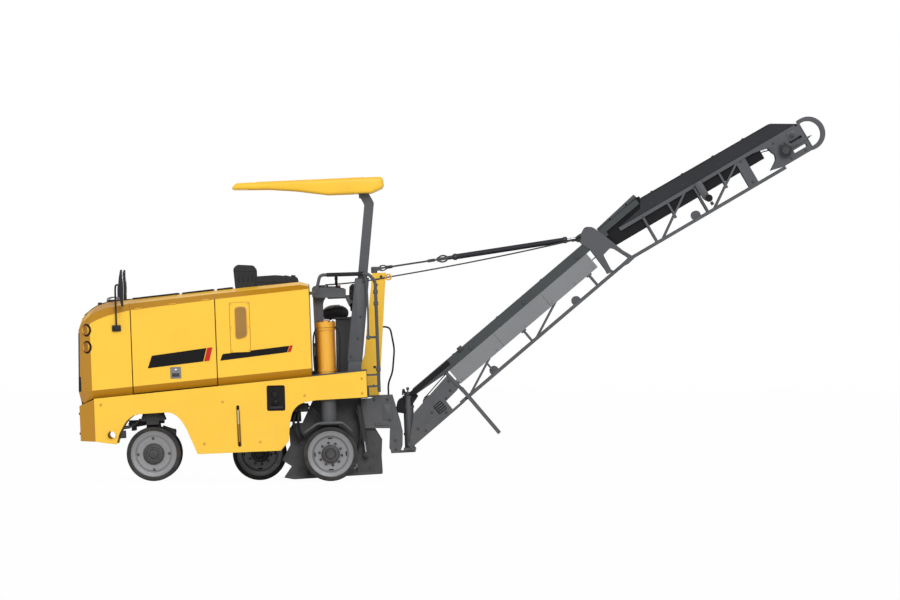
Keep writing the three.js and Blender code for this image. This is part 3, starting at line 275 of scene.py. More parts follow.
def joined(parts):
    """One object made of several."""
    only(parts[0])
    for part in parts:
        part.select_set(True)
    if len(parts) > 1:
        bpy.ops.object.join()
    return bpy.context.object


def copies(template, places):
    """One object holding a copy of template at each place. The template goes."""
    made = []
    for place in places:
        twin = template.copy()
        twin.data = template.data.copy()
        bpy.context.scene.collection.objects.link(twin)
        twin.data.transform(place)
        made.append(twin)
    bpy.data.objects.remove(template)
    return joined(made)


def moved(obj, place):
    """Moves obj's mesh by a matrix."""
    obj.data.transform(place)
    return obj


def painted(obj, finish):
    """Gives obj one finish."""
    obj.data.materials.clear()
    obj.data.materials.append(FINISHES[finish])
    return obj


def settle(obj, name, place, body, finish=None):
    """Puts a piece, or parts joined to one, in its place, names it and lets it ride on a CAD body."""
    if isinstance(obj, list):
        obj = joined(obj)
    obj.data.transform(place)
    obj.name = name
    obj.data.name = name
    if finish:
        painted(obj, finish)
    only(obj)
    bpy.ops.object.shade_smooth_by_angle(angle=math.radians(35))
    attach(obj, body)
    return obj


def on_hull(obj, name, finish=None):
    """Settles a piece that is drawn in the hull's frame."""
    return settle(obj, name, HULL, "hull", finish)


def on_conveyor(obj, name, place, finish=None):
    """Settles a piece that rides on the conveyor."""
    return settle(obj, name, place, "conveyor", finish)


class Surface:
    """The outside of some CAD nodes, to lay trim on."""
    def __init__(self, *names):
        self.trees = []
        for name in names:
            mesh = bmesh.new()
            mesh.from_mesh(frame["nodes"][name].data)
            self.trees.append(BVHTree.FromBMesh(mesh))
            mesh.free()

    def hit(self, place, start, direction):
        """Where a ray in a place's own frame first meets the surface, in that frame."""
        origin = place @ Vector(start)
        way = (place.to_3x3() @ Vector(direction)).normalized()
        found = [tree.ray_cast(origin, way) for tree in self.trees]
        near = [(f[3], f[0]) for f in found if f[0] is not None]
        if not near:
            raise RuntimeError("no surface at " + str(tuple(start)))
        return place.inverted() @ min(near, key=lambda pair: pair[0])[1]

    def top(self, x, y, above=2.6):
        """The Z of the surface at x and y, seen from above."""
        return self.hit(HULL, (x, y, above), (0, 0, -1)).z

    def side(self, x, z, side=-1, place=HULL):
        """The Y of the surface at x and z, seen from a side."""
        return self.hit(place, (x, side * 1.3, z), (0, -side, 0)).y


def laid(points, surface, thick, side=-1, sink=0.001, place=HULL, edge=0.0008):
    """A plate laid on a side surface: its outline follows the surface, and it stands proud by thick."""
    corners = [(x, surface.side(x, z, side, place) - side * sink, z) for x, z in rounded(points)]
    obj = thickened(sheet(corners), side * (thick + sink))
    return softened(obj, edge, 1) if edge else obj


def hex_bolt(radius=0.011, height=0.008):
    """A bolt head along -Y on its washer, with its underside at the origin."""
    def prism(sides, wide, depth, y):
        bpy.ops.object.select_all(action="DESELECT")
        bpy.ops.mesh.primitive_cylinder_add(vertices=sides, radius=wide, depth=depth, location=(0, y, 0),
            rotation=(math.pi / 2, 0, 0))
        return fix_place()

    def crown(mesh):
        select_faces(mesh, lambda face: face.normal.y < -0.9)
        bpy.ops.mesh.inset(thickness=radius * 0.16, depth=radius * 0.12)
    washer = prism(12, radius * 1.35, 0.004, -0.001)
    head = prism(6, radius, height, -height / 2 - 0.002)
    return joined([washer, in_edit_mode(head, crown)])


def bolts_at(points, name, body, place=HULL, side=-1, radius=0.011, finish="hub"):
    """Bolt heads standing on points, each pointing out to a side."""
    heads = copies(hex_bolt(radius, radius * 0.8), [Matrix.Translation(p) @ to_side(side) for p in points])
    return settle(heads, name, place, body, finish)


def bolts_on(surface, spots, name, body, side=-1, radius=0.011, finish="hub", place=HULL):
    """Bolt heads on a side surface at (x, z) spots."""
    points = [(x, surface.side(x, z, side, place), z) for x, z in spots]
    return bolts_at(points, name, body, place, side, radius, finish)


# ---- Finishes ---------------------------------------------------------------------------------
def group_of(name, inputs, outputs):
    """A new shader node group with named sockets, and its two end nodes."""
    group = bpy.data.node_groups.new(name, "ShaderNodeTree")
    for label, kind, default in inputs:
        socket = group.interface.new_socket(name=label, in_out="INPUT", socket_type="NodeSocket" + kind)
        socket.default_value = default
    for label, kind in outputs:
        group.interface.new_socket(name=label, in_out="OUTPUT", socket_type="NodeSocket" + kind)
    return (group, group.nodes.new("NodeGroupInput"), group.nodes.new("NodeGroupOutput"))


def math_node(tree, operation, first, second=None, clamp=False):
    """A Math node fed by sockets or numbers; gives its output."""
    node = tree.nodes.new("ShaderNodeMath")
    node.operation = operation
    node.use_clamp = clamp
    for socket, value in zip(node.inputs, (first, second)):
        if value is None:
            continue
        if isinstance(value, (int, float)):
            socket.default_value = value
        else:
            tree.links.new(value, socket)
    return node.outputs[0]


def remap(tree, value, low, high, to_low=0.0, to_high=1.0):
    """A clamped Map Range node; gives its output."""
    node = tree.nodes.new("ShaderNodeMapRange")
    tree.links.new(value, node.inputs["Value"])
    for label, number in (("From Min", low), ("From Max", high), ("To Min", to_low), ("To Max", to_high)):
        if isinstance(number, (int, float)):
            node.inputs[label].default_value = number
        else:
            tree.links.new(number, node.inputs[label])
    return node.outputs["Result"]


def blend_colours(tree, factor, first, second, mode="MIX"):
    """A colour Mix node fed by sockets or colours; gives its output."""
    node = tree.nodes.new("ShaderNodeMix")
    node.data_type = "RGBA"
    node.blend_type = mode
    for socket, value in ((node.inputs[0], factor), (node.inputs[6], first), (node.inputs[7], second)):
        if isinstance(value, (int, float)):
            socket.default_value = value
        elif isinstance(value, (tuple, list)):
            socket.default_value = (*value[:3], 1)
        else:
            tree.links.new(value, socket)
    return node.outputs[2]


def noise(tree, vector, scale, detail=4.0, roughness=0.55):
    """A Noise Texture on a vector; gives its value."""
    node = tree.nodes.new("ShaderNodeTexNoise")
    tree.links.new(vector, node.inputs["Vector"])
    for label, value in (("Scale", scale), ("Detail", detail), ("Roughness", roughness)):
        if isinstance(value, (int, float)):
            node.inputs[label].default_value = value
        else:
            tree.links.new(value, node.inputs[label])
    return node.outputs["Fac"]


def coordinate(tree, kind):
    """One kind of texture coordinate."""
    return tree.nodes.new("ShaderNodeTexCoord").outputs[kind]


def split(tree, vector):
    """A vector's X, Y and Z, by name."""
    node = tree.nodes.new("ShaderNodeSeparateXYZ")
    tree.links.new(vector, node.inputs[0])
    return node.outputs


def soft_edge_group():
    """Rounds hard edges in the shading and finds them for wear."""
    group, given, result = group_of("Soft Edge", [("Radius", "Float", 0.006)],
        [("Normal", "Vector"), ("Edge", "Float")])
    bevel = group.nodes.new("ShaderNodeBevel")
    bevel.samples = 4
    geometry = group.nodes.new("ShaderNodeNewGeometry")
    group.links.new(given.outputs["Radius"], bevel.inputs["Radius"])
    dot = group.nodes.new("ShaderNodeVectorMath")
    dot.operation = "DOT_PRODUCT"
    group.links.new(bevel.outputs["Normal"], dot.inputs[0])
    group.links.new(geometry.outputs["True Normal"], dot.inputs[1])
    edge = remap(group, dot.outputs["Value"], 0.995, 0.8)
    group.links.new(bevel.outputs["Normal"], result.inputs["Normal"])
    group.links.new(edge, result.inputs["Edge"])
    return group


def weathered_group():
    """A painted or cast surface: cloudy colour, scuffed edges, dust low down, fine grain."""
    group, given, result = group_of("Weathered Surface", [("Colour", "Color", (0.8, 0.5, 0.05, 1)),
        ("Worn Colour", "Color", (0.3, 0.3, 0.3, 1)), ("Dust Colour", "Color", (0.35, 0.31, 0.26, 1)),
        ("Variation", "Float", 0.1), ("Wear", "Float", 0.3), ("Dust", "Float", 0.2),
        ("Roughness", "Float", 0.4), ("Grain Scale", "Float", 300.0), ("Edge", "Float", 0.0)],
        [("Colour", "Color"), ("Roughness", "Float"), ("Height", "Float")])
    place = coordinate(group, "Object")
    clouds = noise(group, place, 1.7, 5.0)
    speckle = noise(group, place, 38.0, 6.0, 0.65)
    grain = noise(group, place, given.outputs["Grain Scale"], 2.0)
    shade = remap(group, clouds, 0.3, 0.7, -1.0, 1.0)
    lighter = math_node(group, "MULTIPLY_ADD", shade, given.outputs["Variation"])
    group.nodes[-1].inputs[2].default_value = 1.0
    hue = group.nodes.new("ShaderNodeHueSaturation")
    group.links.new(given.outputs["Colour"], hue.inputs["Color"])
    group.links.new(lighter, hue.inputs["Value"])
    chips = remap(group, math_node(group, "MULTIPLY", given.outputs["Edge"], speckle), 0.46, 0.56)
    worn = math_node(group, "MULTIPLY", chips, given.outputs["Wear"], True)
    painted_over = blend_colours(group, worn, hue.outputs["Color"], given.outputs["Worn Colour"])
    axes = split(group, place)
    low_down = remap(group, axes["Z"], 1.3, 0.05)
    patches = remap(group, noise(group, place, 6.0, 8.0, 0.7), 0.36, 0.72)
    film = math_node(group, "MULTIPLY", low_down, patches)
    dusty = math_node(group, "MULTIPLY", film, given.outputs["Dust"], True)
    colour = blend_colours(group, dusty, painted_over, given.outputs["Dust Colour"])
    uneven = remap(group, speckle, 0.3, 0.7, -0.06, 0.06)
    rough = math_node(group, "ADD", given.outputs["Roughness"], uneven)
    rougher = math_node(group, "MULTIPLY_ADD", dusty, 0.4)
    group.links.new(rough, group.nodes[-1].inputs[2])
    group.links.new(colour, result.inputs["Colour"])
    group.links.new(rougher, result.inputs["Roughness"])
    group.links.new(grain, result.inputs["Height"])
    return group


def tread_group():
    """Raised diamonds of checker plate in X and Y, as height and a mask."""
    group, given, result = group_of("Checker Tread", [("Pitch", "Float", 0.05)], [("Height", "Float")])
    place = coordinate(group, "Object")
    axes = split(group, place)
    waves = []
    for first, second in ((1.0, 1.0), (1.0, -1.0)):
        along = math_node(group, "ADD", math_node(group, "MULTIPLY", axes["X"], first),
            math_node(group, "MULTIPLY", axes["Y"], second))
        turns = math_node(group, "DIVIDE", along, given.outputs["Pitch"])
        waves.append(math_node(group, "SINE", math_node(group, "MULTIPLY", turns, math.pi)))
    height = remap(group, math_node(group, "MULTIPLY", waves[0], waves[1]), 0.35, 0.6)
    group.links.new(height, result.inputs["Height"])
    return group


GROUPS = {}


def add_group(tree, name):
    """A node that holds one of the shared groups."""
    node = tree.nodes.new("ShaderNodeGroup")
    node.node_tree = GROUPS[name]
    return node


def srgb(red, green, blue):
    """A colour from 0 to 255 as linear light."""
    return tuple((((c / 255 + 0.055) / 1.055) ** 2.4 if c > 10 else c / 255 / 12.92 for c in (red, green,
        blue)))


def weathered(name, colour, worn, roughness, wear=0.3, dust=0.2, variation=0.08, grain=300.0, bump=0.15,
        metallic=0.0, coat=0.0, coat_roughness=0.1, radius=0.006, dust_colour=(0.35, 0.31, 0.26),
        specular=0.5):
    """A finish made of the weathered surface and soft edges."""
    material = bpy.data.materials.new(name)
    material.use_nodes = True
    tree = material.node_tree
    shader = tree.nodes["Principled BSDF"]
    edge = add_group(tree, "edge")
    edge.inputs["Radius"].default_value = radius
    surface = add_group(tree, "surface")
    surface.inputs["Colour"].default_value = (*colour, 1)
    surface.inputs["Worn Colour"].default_value = (*worn, 1)
    surface.inputs["Dust Colour"].default_value = (*dust_colour, 1)
    for label, value in (("Variation", variation), ("Wear", wear), ("Dust", dust), ("Roughness", roughness),
            ("Grain Scale", grain)):
        surface.inputs[label].default_value = value
    tree.links.new(edge.outputs["Edge"], surface.inputs["Edge"])
    tree.links.new(surface.outputs["Colour"], shader.inputs["Base Color"])
    tree.links.new(surface.outputs["Roughness"], shader.inputs["Roughness"])
    relief = tree.nodes.new("ShaderNodeBump")
    relief.inputs["Strength"].default_value = bump
    relief.inputs["Distance"].default_value = 0.001
    tree.links.new(surface.outputs["Height"], relief.inputs["Height"])
    tree.links.new(edge.outputs["Normal"], relief.inputs["Normal"])
    tree.links.new(relief.outputs["Normal"], shader.inputs["Normal"])
    shader.inputs["Metallic"].default_value = metallic
    shader.inputs["Coat Weight"].default_value = coat
    shader.inputs["Coat Roughness"].default_value = coat_roughness
    shader.inputs["Specular IOR Level"].default_value = specular
    return material


PLAIN_FINISHES = {
    "sideplate": ("Skid Plate", (66, 67, 70), (150, 148, 144), dict(roughness=0.55, wear=0.9, dust=0.12,
        variation=0.1, bump=0.3, specular=0.35)),
    "cover": ("Cover Grey", (60, 64, 66), (110, 112, 114), dict(roughness=0.5, wear=0.5, dust=0.08,
        variation=0.08, bump=0.2, specular=0.35)),
    "chassis": ("Chassis Black", (46, 47, 50), (100, 98, 95), dict(roughness=0.55, wear=0.6, dust=0.2,
        variation=0.12, bump=0.3, specular=0.3)),
    "grey": ("Panel Grey", (122, 124, 127), (160, 160, 162), dict(roughness=0.42, wear=0.5, dust=0.1,
        variation=0.05, bump=0.1)),
    "black": ("Cover Plastic", (36, 37, 42), (80, 80, 84), dict(roughness=0.52, wear=0.4, dust=0.1,
        variation=0.12, grain=700.0, bump=0.35, specular=0.3)),
    "console": ("Console Plastic", (84, 86, 91), (130, 130, 132), dict(roughness=0.48, wear=0.4, dust=0.0,
        variation=0.08, grain=900.0, bump=0.35)),
    "label": ("Label Film", (14, 14, 16), (44, 44, 46), dict(roughness=0.4, wear=0.3, dust=0.03,
        variation=0.1, specular=0.15, radius=0.001, bump=0.03)),
    "red": ("Label Red", (200, 34, 26), (150, 40, 34), dict(roughness=0.4, wear=0.2, dust=0.05,
        variation=0.04, specular=0.2, radius=0.001, bump=0.03)),
    "rubber": ("Solid Tyre Rubber", (46, 46, 48), (92, 88, 82), dict(roughness=0.82, wear=0.7, dust=0.35,
        variation=0.16, grain=160.0, bump=0.6, specular=0.25, radius=0.01, dust_colour=(0.22, 0.2, 0.17))),
    "belt": ("Belt Rubber", (28, 28, 31), (70, 68, 66), dict(roughness=0.78, wear=0.4, dust=0.12,
        variation=0.18, grain=220.0, bump=0.5, specular=0.2)),
    "hose": ("Hose Rubber", (34, 34, 37), (80, 80, 82), dict(roughness=0.6, wear=0.2, dust=0.2,
        variation=0.12, grain=900.0, bump=0.4, radius=0.002, specular=0.25)),
    "rim": ("Rim Grey", (136, 137, 141), (100, 99, 97), dict(roughness=0.42, wear=0.5, dust=0.28,
        variation=0.09, metallic=0.25, bump=0.2, dust_colour=(0.3, 0.28, 0.25))),
    "hub": ("Hub Iron", (58, 59, 62), (120, 118, 115), dict(roughness=0.5, wear=0.7, dust=0.2,
        variation=0.15, metallic=0.35, bump=0.4, radius=0.003)),
    "iron": ("Engine Iron", (62, 63, 66), (130, 126, 120), dict(roughness=0.6, wear=0.6, dust=0.1,
        variation=0.2, grain=120.0, metallic=0.3, bump=0.7)),
    "drum": ("Drum Steel", (108, 104, 100), (170, 166, 160), dict(roughness=0.45, wear=0.9, dust=0.3,
        variation=0.22, metallic=0.7, grain=140.0, bump=0.6, specular=0.5)),
    "steel": ("Bright Steel", (188, 189, 192), (220, 220, 222), dict(roughness=0.24, wear=0.3, dust=0.0,
        variation=0.05, metallic=1.0, grain=600.0, bump=0.06, radius=0.002)),
    "brass": ("Gauge Brass", (176, 128, 40), (215, 180, 96), dict(roughness=0.3, wear=0.4, dust=0.1,
        variation=0.1, metallic=0.7, bump=0.1, radius=0.002)),
    # Black for real black parts, and also painted shade on the dark pieces set in slots, openings and recesses.
    "window": ("Recess Black", (12, 12, 14), (40, 40, 42), dict(roughness=0.4, wear=0.2, dust=0.05,
        variation=0.2, bump=0.1, radius=0.003, specular=0.2)),
}


def make_finishes(colours):
    """Every finish the machine wears, by its short name."""
    GROUPS["edge"] = soft_edge_group()
    GROUPS["surface"] = weathered_group()
    GROUPS["tread"] = tread_group()
    yellow = tuple(colours.body)
    dark = tuple(colours.conveyor)
    add = FINISHES.__setitem__
    add("yellow", body_finish("Machine Yellow", yellow))
    add("gold", gold_finish())
    add("roof", weathered("Roof Shell", yellow, srgb(214, 160, 52), 0.36, wear=0.1, dust=0.0,
        variation=0.05, radius=0.02, bump=0.05, specular=0.3))
    add("dark", weathered("Conveyor Grey", dark, srgb(124, 125, 128), 0.5, wear=0.6, dust=0.18,
        variation=0.1, bump=0.2))
    for key, (name, colour, worn, settings) in PLAIN_FINISHES.items():
        add(key, weathered(name, srgb(*colour), srgb(*worn), **settings))
    add("rope", rope_finish())
    add("seat", seat_finish())
    add("mesh", mesh_finish())
    add("tread", tread_finish())
    add("glass", mirror_finish())
    add("tube", gauge_finish())


def base_finish(name, colour, worn, **settings):
    """A weathered finish, with its tree, shader and surface nodes to build on."""
    material = weathered(name, colour, worn, **settings)
    tree = material.node_tree
    surface = next((n for n in tree.nodes if n.type == "GROUP" and n.node_tree == GROUPS["surface"]))
    relief = next((n for n in tree.nodes if n.type == "BUMP"))
    return (material, tree, tree.nodes["Principled BSDF"], surface, relief)


def body_finish(name, colour):
    """Body paint, a deeper gold on the faces that slant between the sides and the top or the nose."""
    material, tree, shader, surface, relief = base_finish(name, colour, srgb(214, 160, 52), roughness=0.36,
        wear=0.4, dust=0.12, variation=0.03, coat=0.12, radius=0.009, bump=0.06, specular=0.3)
    # Painted shade: faces that lean part way from the sides blend to a darker gold that stands in for shade.
    axes = split(tree, coordinate(tree, "Normal"))
    lean = math_node(tree, "ABSOLUTE", axes["Y"])
    slant = math_node(tree, "MULTIPLY", remap(tree, lean, 0.24, 0.34), remap(tree, lean, 0.975, 0.94))
    painted_shade_gold = blend_colours(tree, slant, surface.outputs["Colour"], srgb(192, 136, 28))
    tree.links.new(painted_shade_gold, shader.inputs["Base Color"])
    return material


def gold_finish():
    """Deep gold paint: a bright band on what faces the sides, deeper on what turns away from them."""
    material, tree, shader, surface, relief = base_finish("Column Gold", srgb(244, 178, 46),
        srgb(170, 110, 30), roughness=0.3, wear=0.4, dust=0.12, variation=0.05, coat=0.3, radius=0.009,
        bump=0.06)
    # Painted highlight and shade: faces square to the sides keep the bright gold as a painted highlight, and faces
    # turning away blend to a darker gold as painted shade.
    axes = split(tree, coordinate(tree, "Normal"))
    away = remap(tree, math_node(tree, "ABSOLUTE", axes["Y"]), 0.985, 0.6)
    tree.links.new(blend_colours(tree, away, surface.outputs["Colour"], srgb(180, 112, 16)),
        shader.inputs["Base Color"])
    return material


def rope_finish():
    """Greased wire rope: strands laid along its own run."""
    material, tree, shader, surface, relief = base_finish("Wire Rope", srgb(70, 71, 74),
        srgb(140, 140, 142), roughness=0.45, wear=0.3, dust=0.0, metallic=0.6, bump=0.5, radius=0.002)
    place = coordinate(tree, "Object")
    wave = tree.nodes.new("ShaderNodeTexWave")
    wave.bands_direction = "DIAGONAL"
    wave.inputs["Scale"].default_value = 26.0
    wave.inputs["Distortion"].default_value = 0.6
    tree.links.new(place, wave.inputs["Vector"])
    height = math_node(tree, "ADD", wave.outputs["Fac"], surface.outputs["Height"])
    tree.links.new(height, relief.inputs["Height"])
    relief.inputs["Distance"].default_value = 0.003
    return material


def seat_finish():
    """Seat vinyl with a leather grain."""
    material, tree, shader, surface, relief = base_finish("Seat Vinyl", srgb(38, 38, 41), srgb(86, 84, 82),
        roughness=0.5, wear=0.5, dust=0.0, variation=0.15, grain=420.0, bump=0.4, radius=0.006)
    place = coordinate(tree, "Object")
    cells = tree.nodes.new("ShaderNodeTexVoronoi")
    cells.feature = "DISTANCE_TO_EDGE"
    cells.inputs["Scale"].default_value = 190.0
    tree.links.new(place, cells.inputs["Vector"])
    creases = remap(tree, cells.outputs["Distance"], 0.0, 0.14)
    height = math_node(tree, "MULTIPLY_ADD", surface.outputs["Height"], 0.3)
    tree.links.new(creases, tree.nodes[-1].inputs[2])
    tree.links.new(height, relief.inputs["Height"])
    shader.inputs["Sheen Weight"].default_value = 0.15
    return material


def mesh_finish():
    """Brown-gold filter mesh: small round holes in rows."""
    material, tree, shader, surface, relief = base_finish("Vent Mesh", srgb(176, 130, 52),
        srgb(210, 168, 90), roughness=0.5, wear=0.2, dust=0.1, variation=0.08, bump=0.8, radius=0.001)
    place = coordinate(tree, "Object")
    axes = split(tree, place)
    rows = [math_node(tree, "SINE", math_node(tree, "MULTIPLY", axes[a], 2 * math.pi / 0.024))
        for a in ("X", "Z")]
    holes = remap(tree, math_node(tree, "MULTIPLY", rows[0], rows[1]), 0.25, 0.5)
    # Painted shade: the holes are coloured a dark brown for the shade seen through them.
    colour = blend_colours(tree, holes, surface.outputs["Colour"], srgb(88, 62, 26))
    tree.links.new(colour, shader.inputs["Base Color"])
    tree.links.new(math_node(tree, "SUBTRACT", 1.0, holes), relief.inputs["Height"])
    relief.inputs["Distance"].default_value = 0.002
    return material


def tread_finish():
    """Checker plate for the operator's floor."""
    material, tree, shader, surface, relief = base_finish("Checker Plate", srgb(70, 71, 74),
        srgb(150, 150, 152), roughness=0.5, wear=0.6, dust=0.2, variation=0.12, metallic=0.3, bump=0.7)
    raised = add_group(tree, "tread")
    raised.inputs["Pitch"].default_value = 0.03
    tree.links.new(raised.outputs["Height"], relief.inputs["Height"])
    relief.inputs["Distance"].default_value = 0.004
    polished = blend_colours(tree, math_node(tree, "MULTIPLY", raised.outputs["Height"], 0.35),
        surface.outputs["Colour"], srgb(140, 140, 142))
    tree.links.new(polished, shader.inputs["Base Color"])
    return material


def mirror_finish():
    """Mirror glass with a film of dust."""
    material, tree, shader, surface, relief = base_finish("Mirror Glass", srgb(196, 202, 208),
        srgb(160, 166, 170), roughness=0.06, wear=0.0, dust=0.0, variation=0.03, metallic=1.0, bump=0.01,
        radius=0.001)
    smears = noise(tree, coordinate(tree, "Object"), 9.0, 6.0, 0.7)
    tree.links.new(remap(tree, smears, 0.35, 0.75, 0.04, 0.16), shader.inputs["Roughness"])
    return material


def gauge_finish():
    """A clear level tube with its fluid, dark at both ends."""
    material, tree, shader, surface, relief = base_finish("Level Tube", srgb(214, 206, 160),
        srgb(230, 226, 200), roughness=0.12, wear=0.0, dust=0.05, variation=0.05, bump=0.05, radius=0.002,
        coat=1.0)
    axes = split(tree, coordinate(tree, "Object"))
    fluid = remap(tree, axes["Z"], 0.7, 0.69)
    tree.links.new(blend_colours(tree, fluid, surface.outputs["Colour"], srgb(168, 128, 44)),
        shader.inputs["Base Color"])
    return material


NODE_FINISH = {
    "yellow_paint": "yellow", "gold_paint": "gold", "dark_paint": "dark", "chassis_paint": "chassis",
    "grey_paint": "grey", "black_plastic": "black", "belt_rubber": "belt", "rod_steel": "steel",
    "cast_iron": "iron", "tyre": "rubber", "drum_steel": "drum", "seat_fabric": "seat",
    "roof_shell": "roof",
}
OWN_FINISH = {
    "left_side_plate": "sideplate", "right_side_plate": "sideplate", "platform": "tread",
    "control_console": "console", "stay_rope": "rope", "hydraulic_hose": "hose",
    "drum_housing": "sideplate", "stay_barrel": "black", "conveyor_lower_cover": "cover",
}


def dress(colours):
    """Makes the finishes and gives every CAD node that of its slot, or its own."""
    make_finishes(colours)
    for part in frame["record"]["subparts"]:
        name = part["node"]
        finish = OWN_FINISH.get(name, NODE_FINISH[part["material_slot"]])
        painted(frame["nodes"][name], finish)


# ---- Wheels -----------------------------------------------------------------------------------
TYRE = [(0.274, 0.12), (0.284, 0.137), (0.298, 0.14), (0.316, 0.137), (0.326, 0.128), (0.33, 0.112),
    (0.33, -0.112), (0.326, -0.128), (0.316, -0.137), (0.298, -0.14), (0.284, -0.137), (0.274, -0.12)]
FRONT_RIM = [(0.0, -0.06), (0.126, -0.06), (0.141, -0.104), (0.262, -0.104), (0.272, -0.125),
    (0.282, -0.128), (0.282, 0.128), (0.274, 0.132), (0.262, 0.126), (0.224, 0.122), (0.218, 0.112),
    (0.209, 0.112), (0.203, 0.122), (0.15, 0.119), (0.13, 0.118), (0.129, 0.1), (0.0, 0.1)]
REAR_RIM = [(0.0, -0.06), (0.126, -0.06), (0.141, -0.104), (0.262, -0.104), (0.272, -0.125),
    (0.282, -0.128), (0.282, 0.128), (0.274, 0.132), (0.262, 0.126), (0.226, 0.124), (0.214, 0.112),
    (0.202, 0.098), (0.16, 0.094), (0.0, 0.094)]
FRONT_HUB = [(0.0, 0.08), (0.128, 0.08), (0.13, 0.118), (0.126, 0.14), (0.112, 0.152), (0.088, 0.156),
    (0.084, 0.15), (0.06, 0.15), (0.056, 0.158), (0.051, 0.166), (0.0, 0.168)]
REAR_HUB = [(0.0, 0.08), (0.11, 0.08), (0.112, 0.126), (0.106, 0.144), (0.094, 0.15), (0.068, 0.15),
    (0.062, 0.144), (0.052, 0.146), (0.049, 0.166), (0.0, 0.168)]


def outwards(profile):
    """A wheel's profile with its outer side towards -Y."""
    return [(radius, -y) for radius, y in profile]


def around(count, radius, y, start=0.0):
    """Places on a circle about Y, each turned with the circle."""
    return [about("Y", start + 360 / count * i) @ at(radius, y, 0) for i in range(count)]


def scuffed_tyre(steps):
    """A solid tyre with shallow moulding ribs on its wall."""
    tyre = turned(outwards(TYRE), steps)
    rib = turned([(0.3, -0.1415), (0.303, -0.1432), (0.306, -0.1415), (0.303, -0.138)], steps)
    return joined([tyre, rib])


def front_rim(steps):
    """A front wheel's disc with four bolts and its domed hub."""
    disc = painted(turned(outwards(FRONT_RIM), steps), "rim")
    hub = painted(turned(outwards(FRONT_HUB), steps), "hub")
    nuts = painted(copies(hex_bolt(0.013, 0.012), around(4, 0.19, -0.12)), "hub")
    ring = painted(copies(hex_bolt(0.008, 0.008), around(6, 0.098, -0.152, 15)), "hub")
    return joined([disc, hub, nuts, ring])


def rear_rim(steps):
    """A rear wheel's dished disc with ten bolts, four slots and its hub."""
    disc = painted(turned(outwards(REAR_RIM), steps), "rim")
    hub = painted(turned(outwards(REAR_HUB), steps), "hub")
    nuts = painted(copies(hex_bolt(0.012, 0.014), around(10, 0.137, -0.094, 9)), "hub")
    # Painted shade: thin black plates stand for the four slots through the disc.
    slot_shade_plate = panel(rect(-0.007, -0.028, 0.007, 0.028, 0.006), -0.102, -0.09, 0.001)
    slots = painted(copies(slot_shade_plate, [about("Y", 90 * i) @ at(0.19, 0, 0) for i in range(4)]), "window")
    return joined([disc, hub, nuts, slots])


WHEELS = {
    "left_front": ("left_front_roll", -1, front_rim),
    "right_front": ("right_front_roll", 1, front_rim),
    "left_rear": ("left_rear_roll", -1, rear_rim),
    "right_rear": ("right_rear_roll", -1, rear_rim),
}


def build_wheels(settings):
    """Tyres and rims in place of the four plain wheels."""
    for name, (joint, side, rim) in WHEELS.items():
        place = at_joint(joint) @ to_side(side)
        body = name + "_wheel"
        tyre = settle(scuffed_tyre(settings.wheel_steps), name + "_tyre", place, body, "rubber")
        settle(rim(settings.wheel_steps), name + "_rim", place, body)
        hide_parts(body)


# ---- Hood, nose and skirts ----------------------------------------------------------------------
def build_labels(settings):
    """Black slanted labels with a red end, along the hood's sides."""
    rear = Surface("rear_hood")

    def label(shape, run, red, gap, surface, name, body):
        """Run is the label's length and how far its ends rise, red its red share, gap what parts them."""
        length, rise_low, lean, rise_high = run
        low = (shape[0][0] + length * (1 - red), shape[0][1] + rise_low * (1 - red))
        high = (shape[3][0] + lean * (1 - red), shape[3][1] + rise_high * (1 - red))
        black = painted(laid([shape[0], low, high, shape[3]], surface, 0.004, side), "label")
        end = painted(laid([(low[0] + gap[0], low[1] + gap[1]), shape[1], shape[2],
            (high[0] + gap[0], high[1] + gap[1])], surface, 0.004, side), "red")
        settle([black, end], name, HULL, body)
    for side, word in SIDES:
        door = word + "_engine_door"
        label([(-0.031, 1.043), (0.72, 1.107), (0.763, 1.27), (0.023, 1.194)], (0.751, 0.064, 0.74, 0.076),
            settings.label_red / 0.76, (0.01, 0.001), Surface(door), word + "_door_label", door)
        label([(0.852, 1.102), (1.712, 1.177), (1.74, 1.255), (0.883, 1.182)], (0.86, 0.075, 0.857, 0.073),
            settings.label_red * 0.6 / 0.86, (0.006, 0.0005), rear, word + "_rear_label", "hull")


def build_latches():
    """A slam latch near each engine door's foot, and three hinges at its top."""
    for side, word in SIDES:
        door = Surface(word + "_engine_door")
        plate = painted(laid(rect(0.24, 0.906, 0.371, 1.047, 0.01), door, 0.006, side, edge=0.002), "grey")
        y = door.side(0.305, 0.976, side)
        handle = painted(panel(rect(0.262, 0.93, 0.349, 0.972, 0.008), y + side * 0.004, y + side * 0.018,
            0.003), "hub")
        lock = painted(rod((0.305, y, 1.01), (0.305, y + side * 0.014, 1.01), 0.016, 20, 0.003), "steel")
        settle([plate, handle, lock], word + "_door_latch", HULL, word + "_engine_door")
        hinges = []
        for x in (-0.12, 0.3, 0.7):
            z = 1.759 + (x + 0.225) * (1.851 - 1.759) / 1.041
            hinges.append(rod((x - 0.045, side * 0.792, z + 0.006), (x + 0.045, side * 0.792, z + 0.01),
                0.011, 14, 0.002))
        on_hull(hinges, word + "_door_hinges", "yellow")


